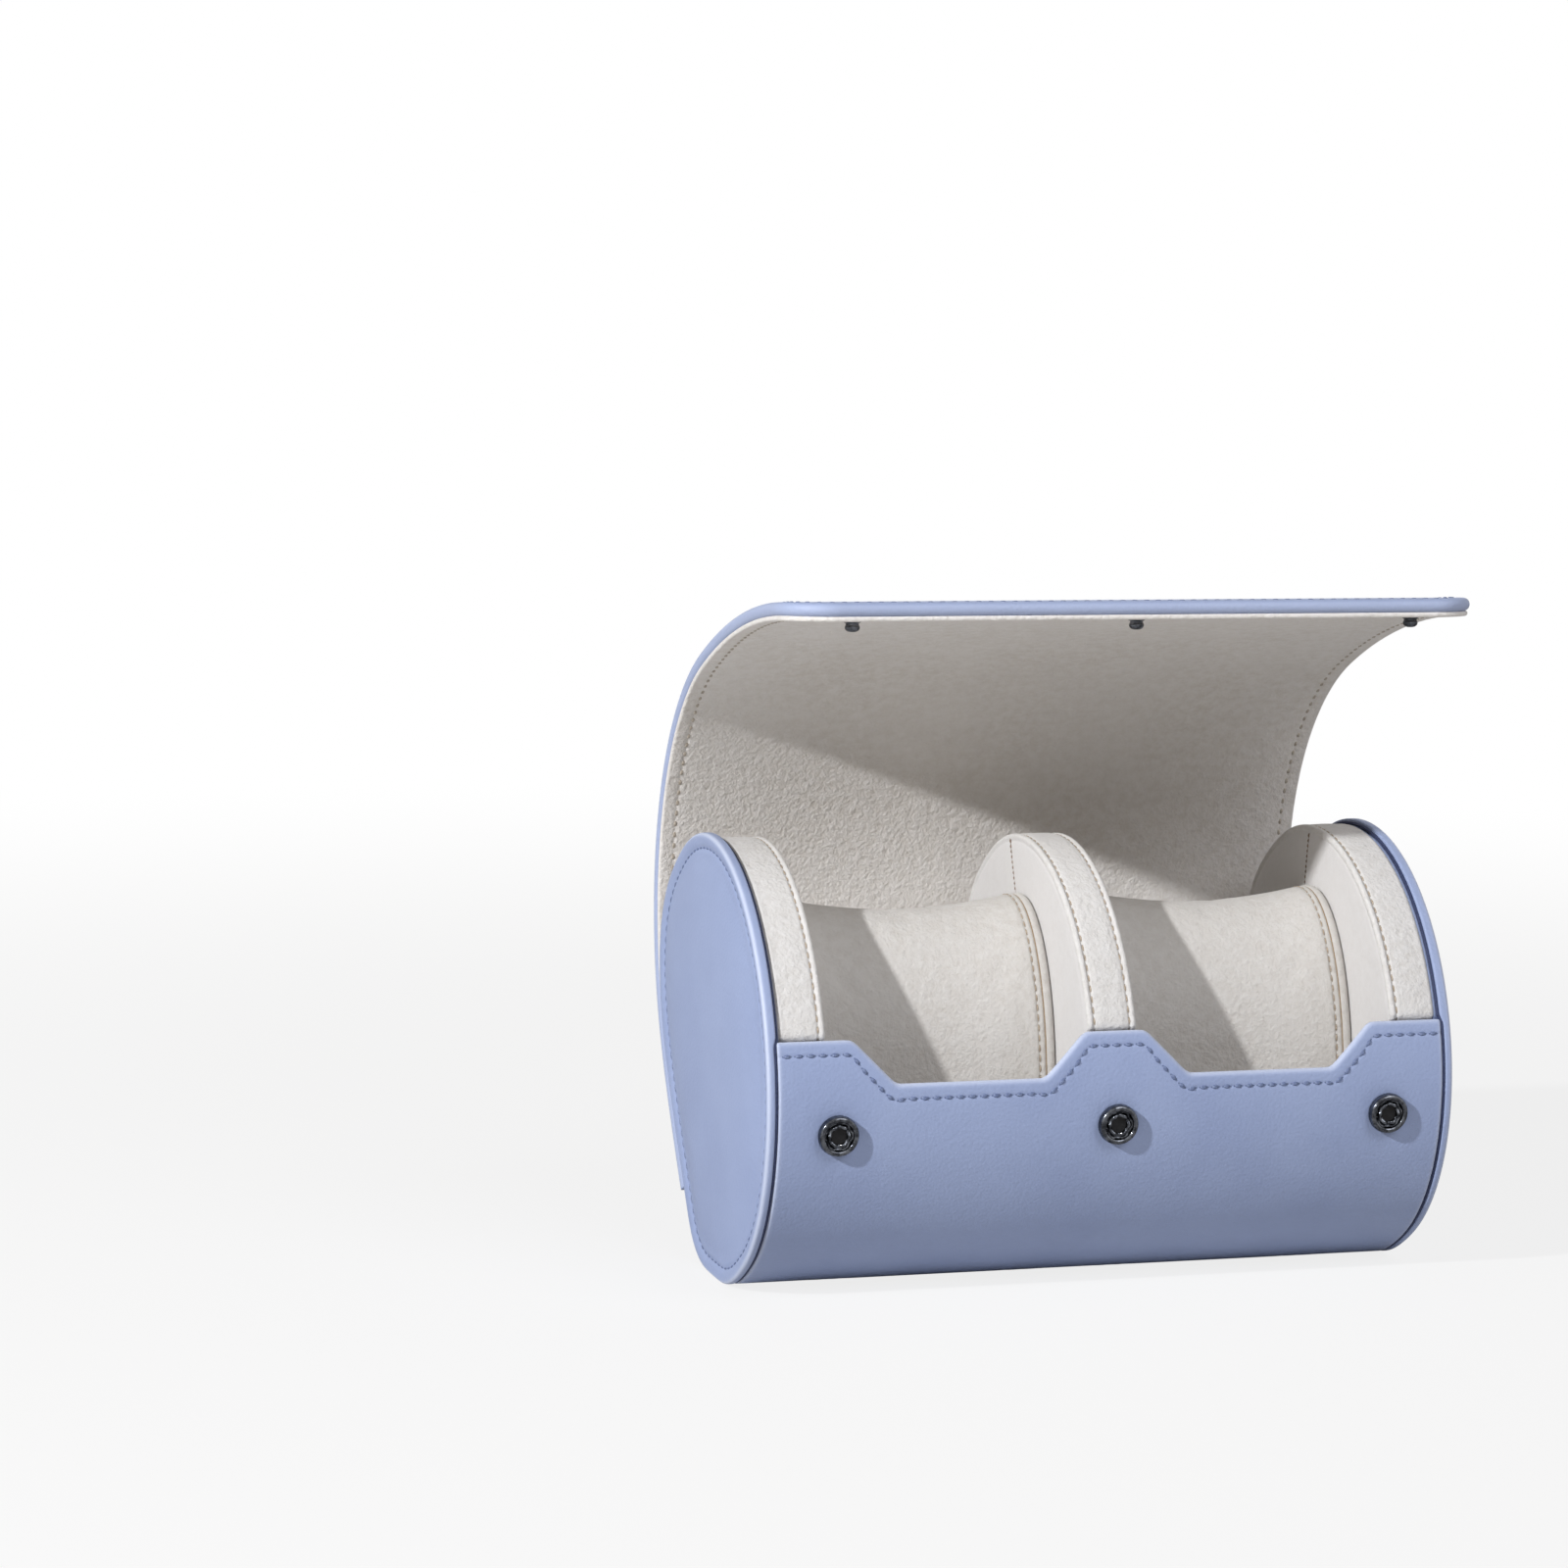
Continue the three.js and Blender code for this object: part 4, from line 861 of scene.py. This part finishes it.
def stretched_rows(profile):
    """Material numbers of a pad's faces: 1 where the cover is stretched over the face, inside the
    piping, and 0 round the rim."""
    inset = np.array([p[1] for p in profile])
    rows = (np.minimum(inset[:-1], inset[1:]) > 2.4).astype(int)
    return [np.repeat(rows, RING_SAMPLES), np.repeat([rows[0], rows[-1]], RING_SAMPLES)]


for side, end in (("left", -1), ("right", 1)):
    profile = pad_profile(PAD_FRONT, WALL_PAD_THICKNESS, PAD_BELOW_RIM / 2)
    rings = rings_from(profile, end)
    for ring, (x, _, _, _) in zip(rings, profile):
        ring[:, 0] += end * MOUTH_PAD_REACH * OPENNESS * min(max((x - PAD_BACK + 3) / 3, 0), 1)
    points, faces = rings_to_faces(rings)
    pad = make_piece(f"{side}_wall_pad", points, faces, PAD_COVERS, stretched_rows(profile), crease=75)
    dress(pad, "barrel", [f"{side}_wall_pad_cover"])

half_divider = pad_profile(-DIVIDER_THICKNESS / 2, DIVIDER_THICKNESS / 2, PAD_BELOW_RIM)
left_half = [p for p in half_divider if p[0] < -1.5 or p[1] > 4][::-1]
band_x = np.linspace(-2.4, 2.4, 9)
mirrored = [(-x, inset, seated, share) for x, inset, seated, share in left_half[::-1]]
middle_band = [(x, PAD_BELOW_RIM - 0.02, True, 1.0) for x in band_x]
profile = left_half + middle_band + mirrored
points, faces = rings_to_faces(rings_from(profile, 1))
divider = make_piece("divider_pad", points, faces, PAD_COVERS, stretched_rows(profile), crease=75)
dress(divider, "barrel", ["divider_left_cover", "divider_right_cover"])


def pad_stitches(name, x, below):
    """The stitches round a pad behind its piping, at x and in by the seat and as far again as below."""
    path = on_outline(RING_S, -(SEAT + below), x)
    middle, along, at, lengths = stitch_places(path, PAD_STITCH_PITCH, closed=True)
    s = np.interp(at, lengths, np.append(RING_S, OUTLINE_LENGTH))
    out = np.concatenate([np.zeros((len(s), 1)), outline_at(s)[1]], 1)
    piece = stitches(name, middle, along, out, SUEDE_THREAD, SUEDE_HOLE_SHADE,
                     SUEDE_STITCH_LENGTH, SUEDE_THREAD_RADIUS)
    return dress(piece, "barrel")


for side, end in (("left", -1), ("right", 1)):
    pad_stitches(f"{side}_wall_pad_stitches", end * (PAD_FRONT + 1.74), PAD_BELOW_RIM / 2 + 0.3)
    pad_stitches(f"divider_{side}_stitches", end * (DIVIDER_THICKNESS / 2 - 1.74), PAD_BELOW_RIM + 0.3)


def face_seam(name, x, way, top, low):
    """A short upright seam on a pad's face, where its cover is joined: brown stitches from under the
    piping down behind the cushion, as (y, z) of its two ends."""
    line = np.linspace([x, *top], [x, *low], 40)
    middle, along, _, _ = stitch_places(line, JOIN_STITCH_PITCH)
    out = np.tile([float(way), 0, 0], (len(middle), 1))
    return dress(stitches(name, middle, along, out, SEAM_THREAD, SUEDE_HOLE_SHADE,
                          JOIN_STITCH_LENGTH, JOIN_THREAD_RADIUS), "barrel")


for side, end in (("left", -1), ("right", 1)):
    face_seam(f"{side}_wall_pad_join", end * (PAD_FRONT + 0.1), -end, (10.5, 100.8), (13.0, 80.0))
    face_seam(f"divider_{side}_join", end * (DIVIDER_THICKNESS / 2 - 0.1), end, (16.6, 100.2), (9.0, 82.0))


# ---------------------------------------------------------------- cushions

CUSHION_INNER = DIVIDER_THICKNESS / 2 + CUSHION_SIDE_GAP
CUSHION_OUTER = PAD_FRONT - CUSHION_SIDE_GAP
CUSHION_MIDDLE = (CUSHION_INNER + CUSHION_OUTER) / 2
SLEEVE_HALF = (CUSHION_OUTER - CUSHION_INNER) / 2 - CUSHION_END_THICKNESS
CUSHION_REACH = math.hypot(CUSHION_HEIGHT / 2 * math.cos(CUSHION_LEAN),
                           CUSHION_HALF_DEPTH * math.sin(CUSHION_LEAN))
CUSHION_CENTRE = np.array([AXIS_SETBACK - CUSHION_SET_FORWARD, WRAP_THICKNESS + FIT_GAP + CUSHION_REACH])
CUSHION_SIDES = 144
CUSHION_CROWN = 1.3
SLEEVE_THICKNESS = 1.5
CLOTH_ROWS = 40
CLOTH_FRAMES = 20
CLOTH_PRESSURE = 40
CLOTH_SPARE = 0.006
CLOTH_SLIM = 0.3
CLOTH_REACH = 0.45
CLOTH_STIFFNESS = 5
SEWN_ROWS = 2
PANEL_BULGE = 0.35


def oval_ring(x, inset):
    """A superellipse with the cushion's half sizes less the inset, its top half a little fuller, as the
    stuffing makes it, turned by the cushion's lean."""
    turn = 2 * np.pi * np.arange(CUSHION_SIDES) / CUSHION_SIDES
    squared = lambda v: np.sign(v) * np.abs(v) ** (2 / CUSHION_SQUARENESS)
    y = (CUSHION_HALF_DEPTH - inset) * squared(np.cos(turn))
    z = (CUSHION_HEIGHT / 2 - inset) * squared(np.sin(turn))
    z = z + CUSHION_CROWN * np.maximum(np.sin(turn), 0) ** 1.5
    c, s = math.cos(CUSHION_LEAN), math.sin(CUSHION_LEAN)
    yz = np.stack([y * c + z * s, -y * s + z * c], -1) + CUSHION_CENTRE
    return np.concatenate([np.full((CUSHION_SIDES, 1), float(x)), yz], 1)


def waist(along):
    return CUSHION_WAIST * (1 - (along / SLEEVE_HALF) ** 2)


def sleeve_profile():
    """The sleeve from one end to the other: narrowed as one less the square of the way from its
    middle, with a shallow felled seam near each end, and rounded ends."""
    reach = SLEEVE_HALF
    from_end = np.array([0.0, 0.12, 0.35, 0.7, 1.1, 1.35, 1.5, 1.65, 1.9, 2.4, 3.2, 4.5, 6.5])
    along = np.unique(np.round(np.concatenate([-reach + from_end, np.linspace(-reach + 8.5, reach - 8.5, 25),
                                               reach - from_end]), 4))
    gone = reach - np.abs(along)
    cut = 0.22 * groove(gone, CUSHION_STITCH_FROM_END, 0.18)
    end_round = 0.55 * (1 - rounded(gone, 0.7))
    return along, waist(along) + cut + end_round


def swollen_sleeve():
    """How cloth simulation moves the points of an even grid over the sleeve: pressure from inside for
    twenty frames, gravity off, the cloth cut a little too large and its end rows sewn down. A move of
    length l becomes r tanh(l / r), with r a share of the waist, and the grid starts a little smaller."""
    along = np.linspace(-SLEEVE_HALF, SLEEVE_HALF, CLOTH_ROWS)
    slim = CLOTH_SLIM * (1 - (along / SLEEVE_HALF) ** 8)
    rings = np.array([oval_ring(a, waist(a) + s) for a, s in zip(along, slim)])
    points, faces = rings_to_faces(rings)
    if volume_of(points, faces) < 0:
        faces = [group[:, ::-1] for group in faces]
    mesh = bpy.data.meshes.new("cloth_grid")
    mesh.from_pydata((points * MM).tolist(), [], [face for group in faces for face in group.tolist()])
    grid = bpy.data.objects.new("cloth_grid", mesh)
    scene = bpy.context.scene
    scene.collection.objects.link(grid)
    count = rings.shape[0] * rings.shape[1]
    held = SEWN_ROWS * CUSHION_SIDES
    sewn = [*range(held), *range(count - held, len(points))]
    grid.vertex_groups.new(name="sewn").add(sewn, 1.0, "REPLACE")
    settings = grid.modifiers.new("Cloth", "CLOTH").settings
    settings.vertex_group_mass = "sewn"
    settings.use_pressure = True
    settings.uniform_pressure_force = CLOTH_PRESSURE
    settings.effector_weights.gravity = 0
    settings.shrink_min = -CLOTH_SPARE
    settings.quality = 6
    settings.tension_stiffness = settings.compression_stiffness = CLOTH_STIFFNESS
    for number in range(1, CLOTH_FRAMES + 1):
        scene.frame_set(number)
    blown = grid.evaluated_get(bpy.context.evaluated_depsgraph_get()).data.vertices
    place = np.empty(3 * len(blown))
    blown.foreach_get("co", place)
    bpy.data.objects.remove(grid)
    scene.frame_set(1)
    move = place.reshape(-1, 3)[:count].reshape(rings.shape) / MM - rings
    length = np.maximum(np.linalg.norm(move, axis=2, keepdims=True), 1e-9)
    reach = CLOTH_REACH * waist(along)[:, None, None] + 1e-9
    start = rings - np.array([oval_ring(a, waist(a)) for a in along])
    return along, start + move / length * reach * np.tanh(length / reach)


def panel_profile(seam, face):
    """A cushion's end panel: a piping that rolls over from the seam to the face, then a face that
    fills out to its plane as the square of the way in."""
    way = 1 if face > seam else -1
    depth = abs(face - seam)
    roll = np.radians(np.linspace(20, 165, 11))
    shape = [(seam - way * 0.4, 2.2), (seam - way * 0.05, 0.75)]
    shape += [(seam + way * depth * (0.5 - 0.5 * math.cos(a)), 0.85 - 0.95 * math.sin(a)) for a in roll]
    shape += [(seam + way * depth * (0.97 - 0.05 * math.sin(a)), 1.0 + 1.6 * a / math.pi)
              for a in (1.0, 2.0, 3.0)]
    return shape + [(seam + way * depth * (0.99 - 0.02 * t), 3.0 + 19 * (1 - t))
                    for t in np.linspace(0.9, 0, 6)]


grid_along, grid_move = swollen_sleeve()
for side, end in (("left", -1), ("right", 1)):
    body = f"{side}_cushion"
    along, inset = sleeve_profile()
    outer = np.array([oval_ring(end * (CUSHION_MIDDLE + a), i) for a, i in zip(along, inset)])
    at = np.interp(along, grid_along, np.arange(CLOTH_ROWS))
    low = np.minimum(at.astype(int), CLOTH_ROWS - 2)
    share = (at - low)[:, None, None]
    outer += (grid_move[low] * (1 - share) + grid_move[low + 1] * share) * (end, 1, 1)
    inner = np.array([oval_ring(end * (CUSHION_MIDDLE + a), waist(a) + SLEEVE_THICKNESS)
                      for a in along[[0, 6, 24, -7, -1]]])
    points, faces = rings_to_faces(np.concatenate([outer, inner[::-1]]), joined=True)
    sleeve = make_piece(f"{side}_cushion_cover", points, faces, [CUSHION_SUEDE], crease=75)
    dress(sleeve, body, [f"{side}_cushion_sleeve"])
    for which, seam, face in (("inner", CUSHION_MIDDLE - SLEEVE_HALF, CUSHION_INNER - PANEL_BULGE),
                              ("outer", CUSHION_MIDDLE + SLEEVE_HALF, CUSHION_OUTER + PANEL_BULGE)):
        rings = np.array([oval_ring(end * x, i) for x, i in panel_profile(seam, face)])
        points, faces = rings_to_faces(rings)
        panel = make_piece(f"{side}_cushion_{which}_panel", points, faces, [CUSHION_SUEDE], crease=75)
        dress(panel, body, [f"{side}_cushion_{which}_end"])
        # A thin brown cord where sleeve meets panel: painted shade in the seam's fold
        fold = np.array([oval_ring(end * (seam + 0.3 * math.cos(a)), 0.52 - 0.3 * math.sin(a))
                         for a in SMALL_RING])
        points, faces = rings_to_faces(fold, joined=True)
        dress(make_piece(f"{side}_cushion_{which}_seam", points, faces, [SEAM_SHADE]), body)
        inward = CUSHION_STITCH_FROM_END if which == "inner" else -CUSHION_STITCH_FROM_END
        path = oval_ring(end * (seam + inward), waist(SLEEVE_HALF - CUSHION_STITCH_FROM_END) + 0.06)
        middle, along_way, _, _ = stitch_places(path, CUSHION_STITCH_PITCH, closed=True)
        hub = np.array([0.0, *CUSHION_CENTRE])
        out = np.cross(along_way, [1.0, 0, 0])
        out *= np.sign(np.einsum("ij,ij->i", out, (middle - hub) * (0, 1, 1)))[:, None]
        piece = stitches(f"{side}_cushion_{which}_stitches", middle, along_way, out, SUEDE_THREAD,
                         SUEDE_HOLE_SHADE, SUEDE_STITCH_LENGTH, SUEDE_THREAD_RADIUS)
        dress(piece, body)


# ---------------------------------------------------------------- flap

LEATHER_MARGIN = 0.35
# How far out from the bending line the flap's stitches lie, on the leather and on the lining
OUTER_THREAD_DEPTH = 3.5 - 0.22
INNER_THREAD_DEPTH = -0.7 + 0.3


def flap_distance(x, length, margin):
    """How far a point lies in from the flap's border: a rectangle with two rounded corners at its
    free edge, by the usual signed distance, and the straight lower edge of its root."""
    radius = FLAP_CORNER_RADIUS
    across = np.abs(x) - (FLAP_EDGE + margin - radius)
    ahead = length - (FLAP_LENGTH + margin - radius)
    outside = np.hypot(np.maximum(across, 0), np.maximum(ahead, 0))
    inside = np.minimum(np.maximum(across, ahead), 0)
    return np.minimum(radius - outside - inside, length + FLAP_ROOT_LENGTH)


def flap_half_width(length, margin):
    into = np.clip(length - (FLAP_LENGTH + margin - FLAP_CORNER_RADIUS), 0, FLAP_CORNER_RADIUS)
    return FLAP_EDGE + margin - FLAP_CORNER_RADIUS + np.sqrt(FLAP_CORNER_RADIUS**2 - into**2)


FLAP_CUTS = np.concatenate([[-FLAP_ROOT_LENGTH], STRIP_MIDDLES[:-1], [FLAP_LENGTH]])
NEAR_CUT = np.array([0, 0.12, 0.4, 0.9])


def flap_rows(index, margin):
    first, last = FLAP_CUTS[index], FLAP_CUTS[index + 1]
    low = NEAR_EDGE[:9] if index == 0 else NEAR_CUT
    high = np.append(NEAR_EDGE, 14.0) if index == 5 else NEAR_CUT
    return spread(first, last + (margin if index == 5 else 0), 1.6, low, high)


def flap_sheet(index, margin, middle_out, half, radius, outer_groove, inner_groove):
    """One stretch of the flap as a thick sheet: rows along the bending line, columns across it, both
    close together near the border, where the thickness falls to nothing along a quarter circle."""
    rows = flap_rows(index, margin)
    full = FLAP_EDGE + margin
    columns = spread(-full, full, 7.0, NEAR_EDGE, NEAR_EDGE) / full
    length, share = np.meshgrid(rows, columns, indexing="ij")
    x = share * flap_half_width(length, margin)
    inward = np.maximum(flap_distance(x, length, margin), 0)
    thick = half * rounded(inward, radius)
    stitch = STITCH_FROM_EDGE + margin
    line = groove(inward, stitch, 0.5) * (length > -FLAP_ROOT_LENGTH + 8)
    front = on_flap(length, middle_out + thick - outer_groove * line, x)
    back = on_flap(length, middle_out - thick + inner_groove * line, x)
    points, faces, free = sheet_to_faces(front, back, cut_first=index > 0, cut_last=index < 5)
    # Paler near the border: partly wear, partly a painted highlight on the rolled edge
    worn = 0.35 * np.exp(-((inward / EDGE_WEAR_AND_HIGHLIGHT_WIDTH) ** 2))
    return points, faces, np.concatenate([worn.ravel(), worn[free]])


def flap_path():
    """The stitch line round the flap: up one side, round a corner, along the free edge and back down,
    as x and length along the bending line."""
    inset, radius = STITCH_FROM_EDGE, FLAP_CORNER_RADIUS - STITCH_FROM_EDGE
    side, top = FLAP_EDGE - inset, FLAP_LENGTH - inset
    up = np.arange(-FLAP_ROOT_LENGTH + 8, top - radius, 0.8)
    angle = np.linspace(0, np.pi / 2, 16)
    corner_x = side - radius + radius * np.cos(angle)
    corner_l = top - radius + radius * np.sin(angle)
    across = np.linspace(side - radius, -(side - radius), 180)[1:-1]
    x = np.concatenate([np.full(len(up), side), corner_x, across, -corner_x[::-1], np.full(len(up), -side)])
    length = np.concatenate([up, corner_l, np.full(len(across), top), corner_l[::-1], up[::-1]])
    return x, length


PATH_X, PATH_LENGTH = flap_path()


def blend_flap(piece):
    """The stretch, which runs from the middle of one strip to the middle of the next, has its placement
    baked into its points; it is not joined to the bodies on each side of its hinge and does not bend."""
    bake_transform(piece)


def flap_nodes(index, layer):
    names = [f"flap_strip_{index + 1}_{layer}"]
    return names + [f"flap_root_{layer}"] if index == 0 else names


for index in range(6):
    number = index + 1
    points, faces, worn = flap_sheet(index, LEATHER_MARGIN, 1.975, 1.525, 1.45, 0.12, 0.0)
    leather = make_piece(f"flap_leather_{number}", points, faces, [LEATHER], edge=worn)
    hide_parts(*flap_nodes(index, "leather"), *flap_nodes(index, "board"))
    blend_flap(leather)
    points, faces, _ = flap_sheet(index, 0.0, -0.1, 0.6, 0.6, 0.0, 0.16)
    lining = make_piece(f"flap_suede_{number}", points, faces, [LINING])
    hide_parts(*flap_nodes(index, "lining"))
    blend_flap(lining)

for label, depth, thread, hole_shade, flip in (("outer", OUTER_THREAD_DEPTH, LEATHER_THREAD, NEEDLE_HOLE_SHADE, 1),
                                         ("inner", INNER_THREAD_DEPTH, LINING_THREAD, SUEDE_HOLE_SHADE, -1)):
    path = on_flap(PATH_LENGTH, depth, PATH_X)
    middle, along, at, lengths = stitch_places(path)
    place = np.interp(at, lengths, PATH_LENGTH)
    out = on_flap(place, 1.0, 0.0) - on_flap(place, 0.0, 0.0)
    for index in range(6):
        mine = (place >= FLAP_CUTS[index]) & (place < FLAP_CUTS[index + 1] + (1 if index == 5 else 0))
        piece = stitches(f"flap_{label}_stitches_{index + 1}", middle[mine], along[mine],
                         out[mine] * flip, thread, hole_shade)
        blend_flap(piece)


# ---------------------------------------------------------------- snaps

def bead(centre_r, centre_y, radius, start, stop, steps):
    """Profile points of (radius, height) on an arc, its angles in degrees."""
    angles = np.radians(np.linspace(start, stop, steps))
    return [(centre_r + radius * math.cos(a), centre_y + radius * math.sin(a)) for a in angles]


# A socket from its floor up the bore, over the raised ring, through the valley and over the rolled rim
SOCKET_PROFILE = ([(0.02, 0.62), (1.5, 0.62), (1.8, 0.66), (1.85, 0.9), (1.85, 1.2)]
                  + bead(2.3, 1.35, 0.45, 180, 15, 8) + [(2.9, 0.95), (3.15, 0.8), (3.45, 0.9)]
                  + bead(4.0, 1.2, 0.68, 150, -20, 11)
                  + [(4.76, 0.7), (4.8, 0.35), (4.7, -0.1), (3.9, -0.35), (0.02, -0.35)])
SPRING_PETALS = (6, 2.35, 0.75, 0.55)
# A near-black disc down the socket's bore: partly the spring's lacquer, partly painted shade of the hole
SPRING_AND_SHADE_PROFILE = [(0.02, 0.66), (1.5, 0.66), (1.84, 0.72), (1.9, 0.62), (0.02, 0.6)]
# A stud: a flange on the lining, a waist and a rounded head
STUD_PROFILE = [(0.02, 3.2), (0.6, 3.19), (1.05, 3.08), (1.4, 2.86), (1.63, 2.56), (1.72, 2.22),
                (1.66, 1.9), (1.52, 1.64), (1.46, 1.42), (1.54, 1.24), (1.8, 1.1), (1.96, 0.96),
                (1.95, 0.8), (1.6, 0.45), (0.02, 0.45)]

for side, x in SNAP_X.items():
    point, way = outline_at(SOCKET_STATION)
    place, out = np.array([x, *point]), np.array([0.0, *way])
    socket = lathe(f"snap_{side}_socket", SOCKET_PROFILE, place, out, 60, NICKEL, SPRING_PETALS)
    dress(socket, "barrel", [f"snap_socket_{side}"])
    spring_and_shade = lathe(f"snap_{side}_spring", SPRING_AND_SHADE_PROFILE, place, out, 32, BORE_LACQUER_AND_SHADE)
    dress(spring_and_shade, "barrel")
    base = on_flap(FLAP_LENGTH - STUD_FROM_EDGE, 0.0, x)
    inward = base - on_flap(FLAP_LENGTH - STUD_FROM_EDGE, 1.0, x)
    stud = lathe(f"snap_{side}_stud", STUD_PROFILE, base, inward, 36, NICKEL)
    dress(stud, "flap_strip_6", [f"snap_stud_{side}"])


# ---------------------------------------------------------------- stage, light and camera

def stage_floor():
    """A round floor: rings of points whose radius grows as the square of their number."""
    turn = 2 * np.pi * np.arange(48) / 48
    radius = (0.02 + 6 * np.linspace(0, 1, 24) ** 2)[:, None]
    grid = np.stack(np.broadcast_arrays(radius * np.cos(turn), radius * np.sin(turn), 0 * radius), -1)
    ids = np.arange(24 * 48).reshape(24, 48)
    mesh = bpy.data.meshes.new("studio_floor")
    mesh.from_pydata(grid.reshape(-1, 3).tolist(), [], quads(ids, close=True).tolist() + [ids[0].tolist()])
    material, tree = new_material("studio_paper")
    # White paper: matt, lifted for the camera so that it shows white and keeps the object's shadow.
    # The lift grows with the way from the middle, where the paper gets less of the lamps' light.
    light = node(tree, "LightPath")
    at = node(tree, "TexCoord").outputs["Object"]
    far = node(tree, "VectorMath", {0: at}, operation="LENGTH")
    grown = node(tree, "MapRange", {"Value": far.outputs["Value"], "From Min": 0.25, "From Max": 0.9,
                                    "To Min": 0.82, "To Max": 1.0}, interpolation_type="SMOOTHSTEP")
    share = node(tree, "Math", {0: light.outputs["Is Camera Ray"], 1: grown.outputs["Result"]},
                 operation="MULTIPLY")
    diffuse = node(tree, "BsdfDiffuse", {"Color": linear("#d9d8d6")})
    lift = node(tree, "Emission", {"Color": (1, 1, 1, 1), "Strength": 1.0})
    paper = node(tree, "MixShader", {0: share.outputs["Value"], 1: diffuse.outputs["BSDF"],
                                     2: lift.outputs["Emission"]})
    node(tree, "OutputMaterial", {"Surface": paper.outputs["Shader"]})
    mesh.materials.append(material)
    floor = bpy.data.objects.new("studio_floor", mesh)
    bpy.context.scene.collection.objects.link(floor)


stage_floor()

scene = bpy.context.scene
world = bpy.data.worlds.new("studio_air")
world.use_nodes = True
world.node_tree.nodes.clear()
paths = node(world.node_tree, "LightPath")
seen = node(world.node_tree, "Math", {0: paths.outputs["Is Camera Ray"], 1: paths.outputs["Is Glossy Ray"]},
            operation="MAXIMUM")
# The camera and mirrors see plain white; the object gets a fainter light, warm as if off pale wood
room = node(world.node_tree, "Background", {"Color": linear("#fff0df"), "Strength": 0.1})
plain = node(world.node_tree, "Background", {"Color": (1, 1, 1, 1), "Strength": 1.0})
sky = node(world.node_tree, "MixShader", {0: seen.outputs[0], 1: room.outputs[0], 2: plain.outputs[0]})
node(world.node_tree, "OutputWorld", {"Surface": sky.outputs[0]})
scene.world = world


LAMP_AIM = Vector((0, 0, 0.07))


def area_light(name, way, distance, size, power, colour):
    """A round lamp a distance out along a way from its aim, in metres and watts, turned to face it."""
    light = bpy.data.lights.new(name, "AREA")
    light.shape, light.size, light.energy = "DISK", size, power
    light.color = linear(colour)[:3]
    lamp = bpy.data.objects.new(name, light)
    scene.collection.objects.link(lamp)
    way = Vector(way).normalized()
    facing = way.to_track_quat("Z", "Y").to_matrix().to_4x4()
    lamp.matrix_world = Matrix.Translation(LAMP_AIM + way * distance) @ facing


area_light("key_lamp", (-0.791, -0.402, 0.462), 1.6, 0.05, 22.5, "#fbfcff")
area_light("fill_lamp", (0.35, -0.75, 0.75), 1.8, 1.2, 12.5, "#f6f8ff")

# The camera as fitted to the photograph: place and way in millimetres, a roll of about a degree
CAMERA_PLACE = np.array([-363.9, -999.8, 253.9])
CAMERA_WAY = np.array([0.28123, 0.95074, -0.13037])
CAMERA_ROLL = math.radians(1.135)
CAMERA_LENS = 103.1

way = CAMERA_WAY / np.linalg.norm(CAMERA_WAY)
right = np.cross(way, [0, 0, 1])
right /= np.linalg.norm(right)
up = np.cross(right, way)
turned_right = math.cos(CAMERA_ROLL) * right + math.sin(CAMERA_ROLL) * up
turned_up = -math.sin(CAMERA_ROLL) * right + math.cos(CAMERA_ROLL) * up
camera_data = bpy.data.cameras.new("studio_camera")
camera_data.lens, camera_data.sensor_width = CAMERA_LENS, 36.0
camera = bpy.data.objects.new("studio_camera", camera_data)
scene.collection.objects.link(camera)
turn = np.eye(4)
turn[:3, 0], turn[:3, 1], turn[:3, 2], turn[:3, 3] = turned_right, turned_up, -way, CAMERA_PLACE * MM
camera.matrix_world = Matrix(turn.tolist())
scene.camera = camera
scene.view_settings.view_transform = "Standard"
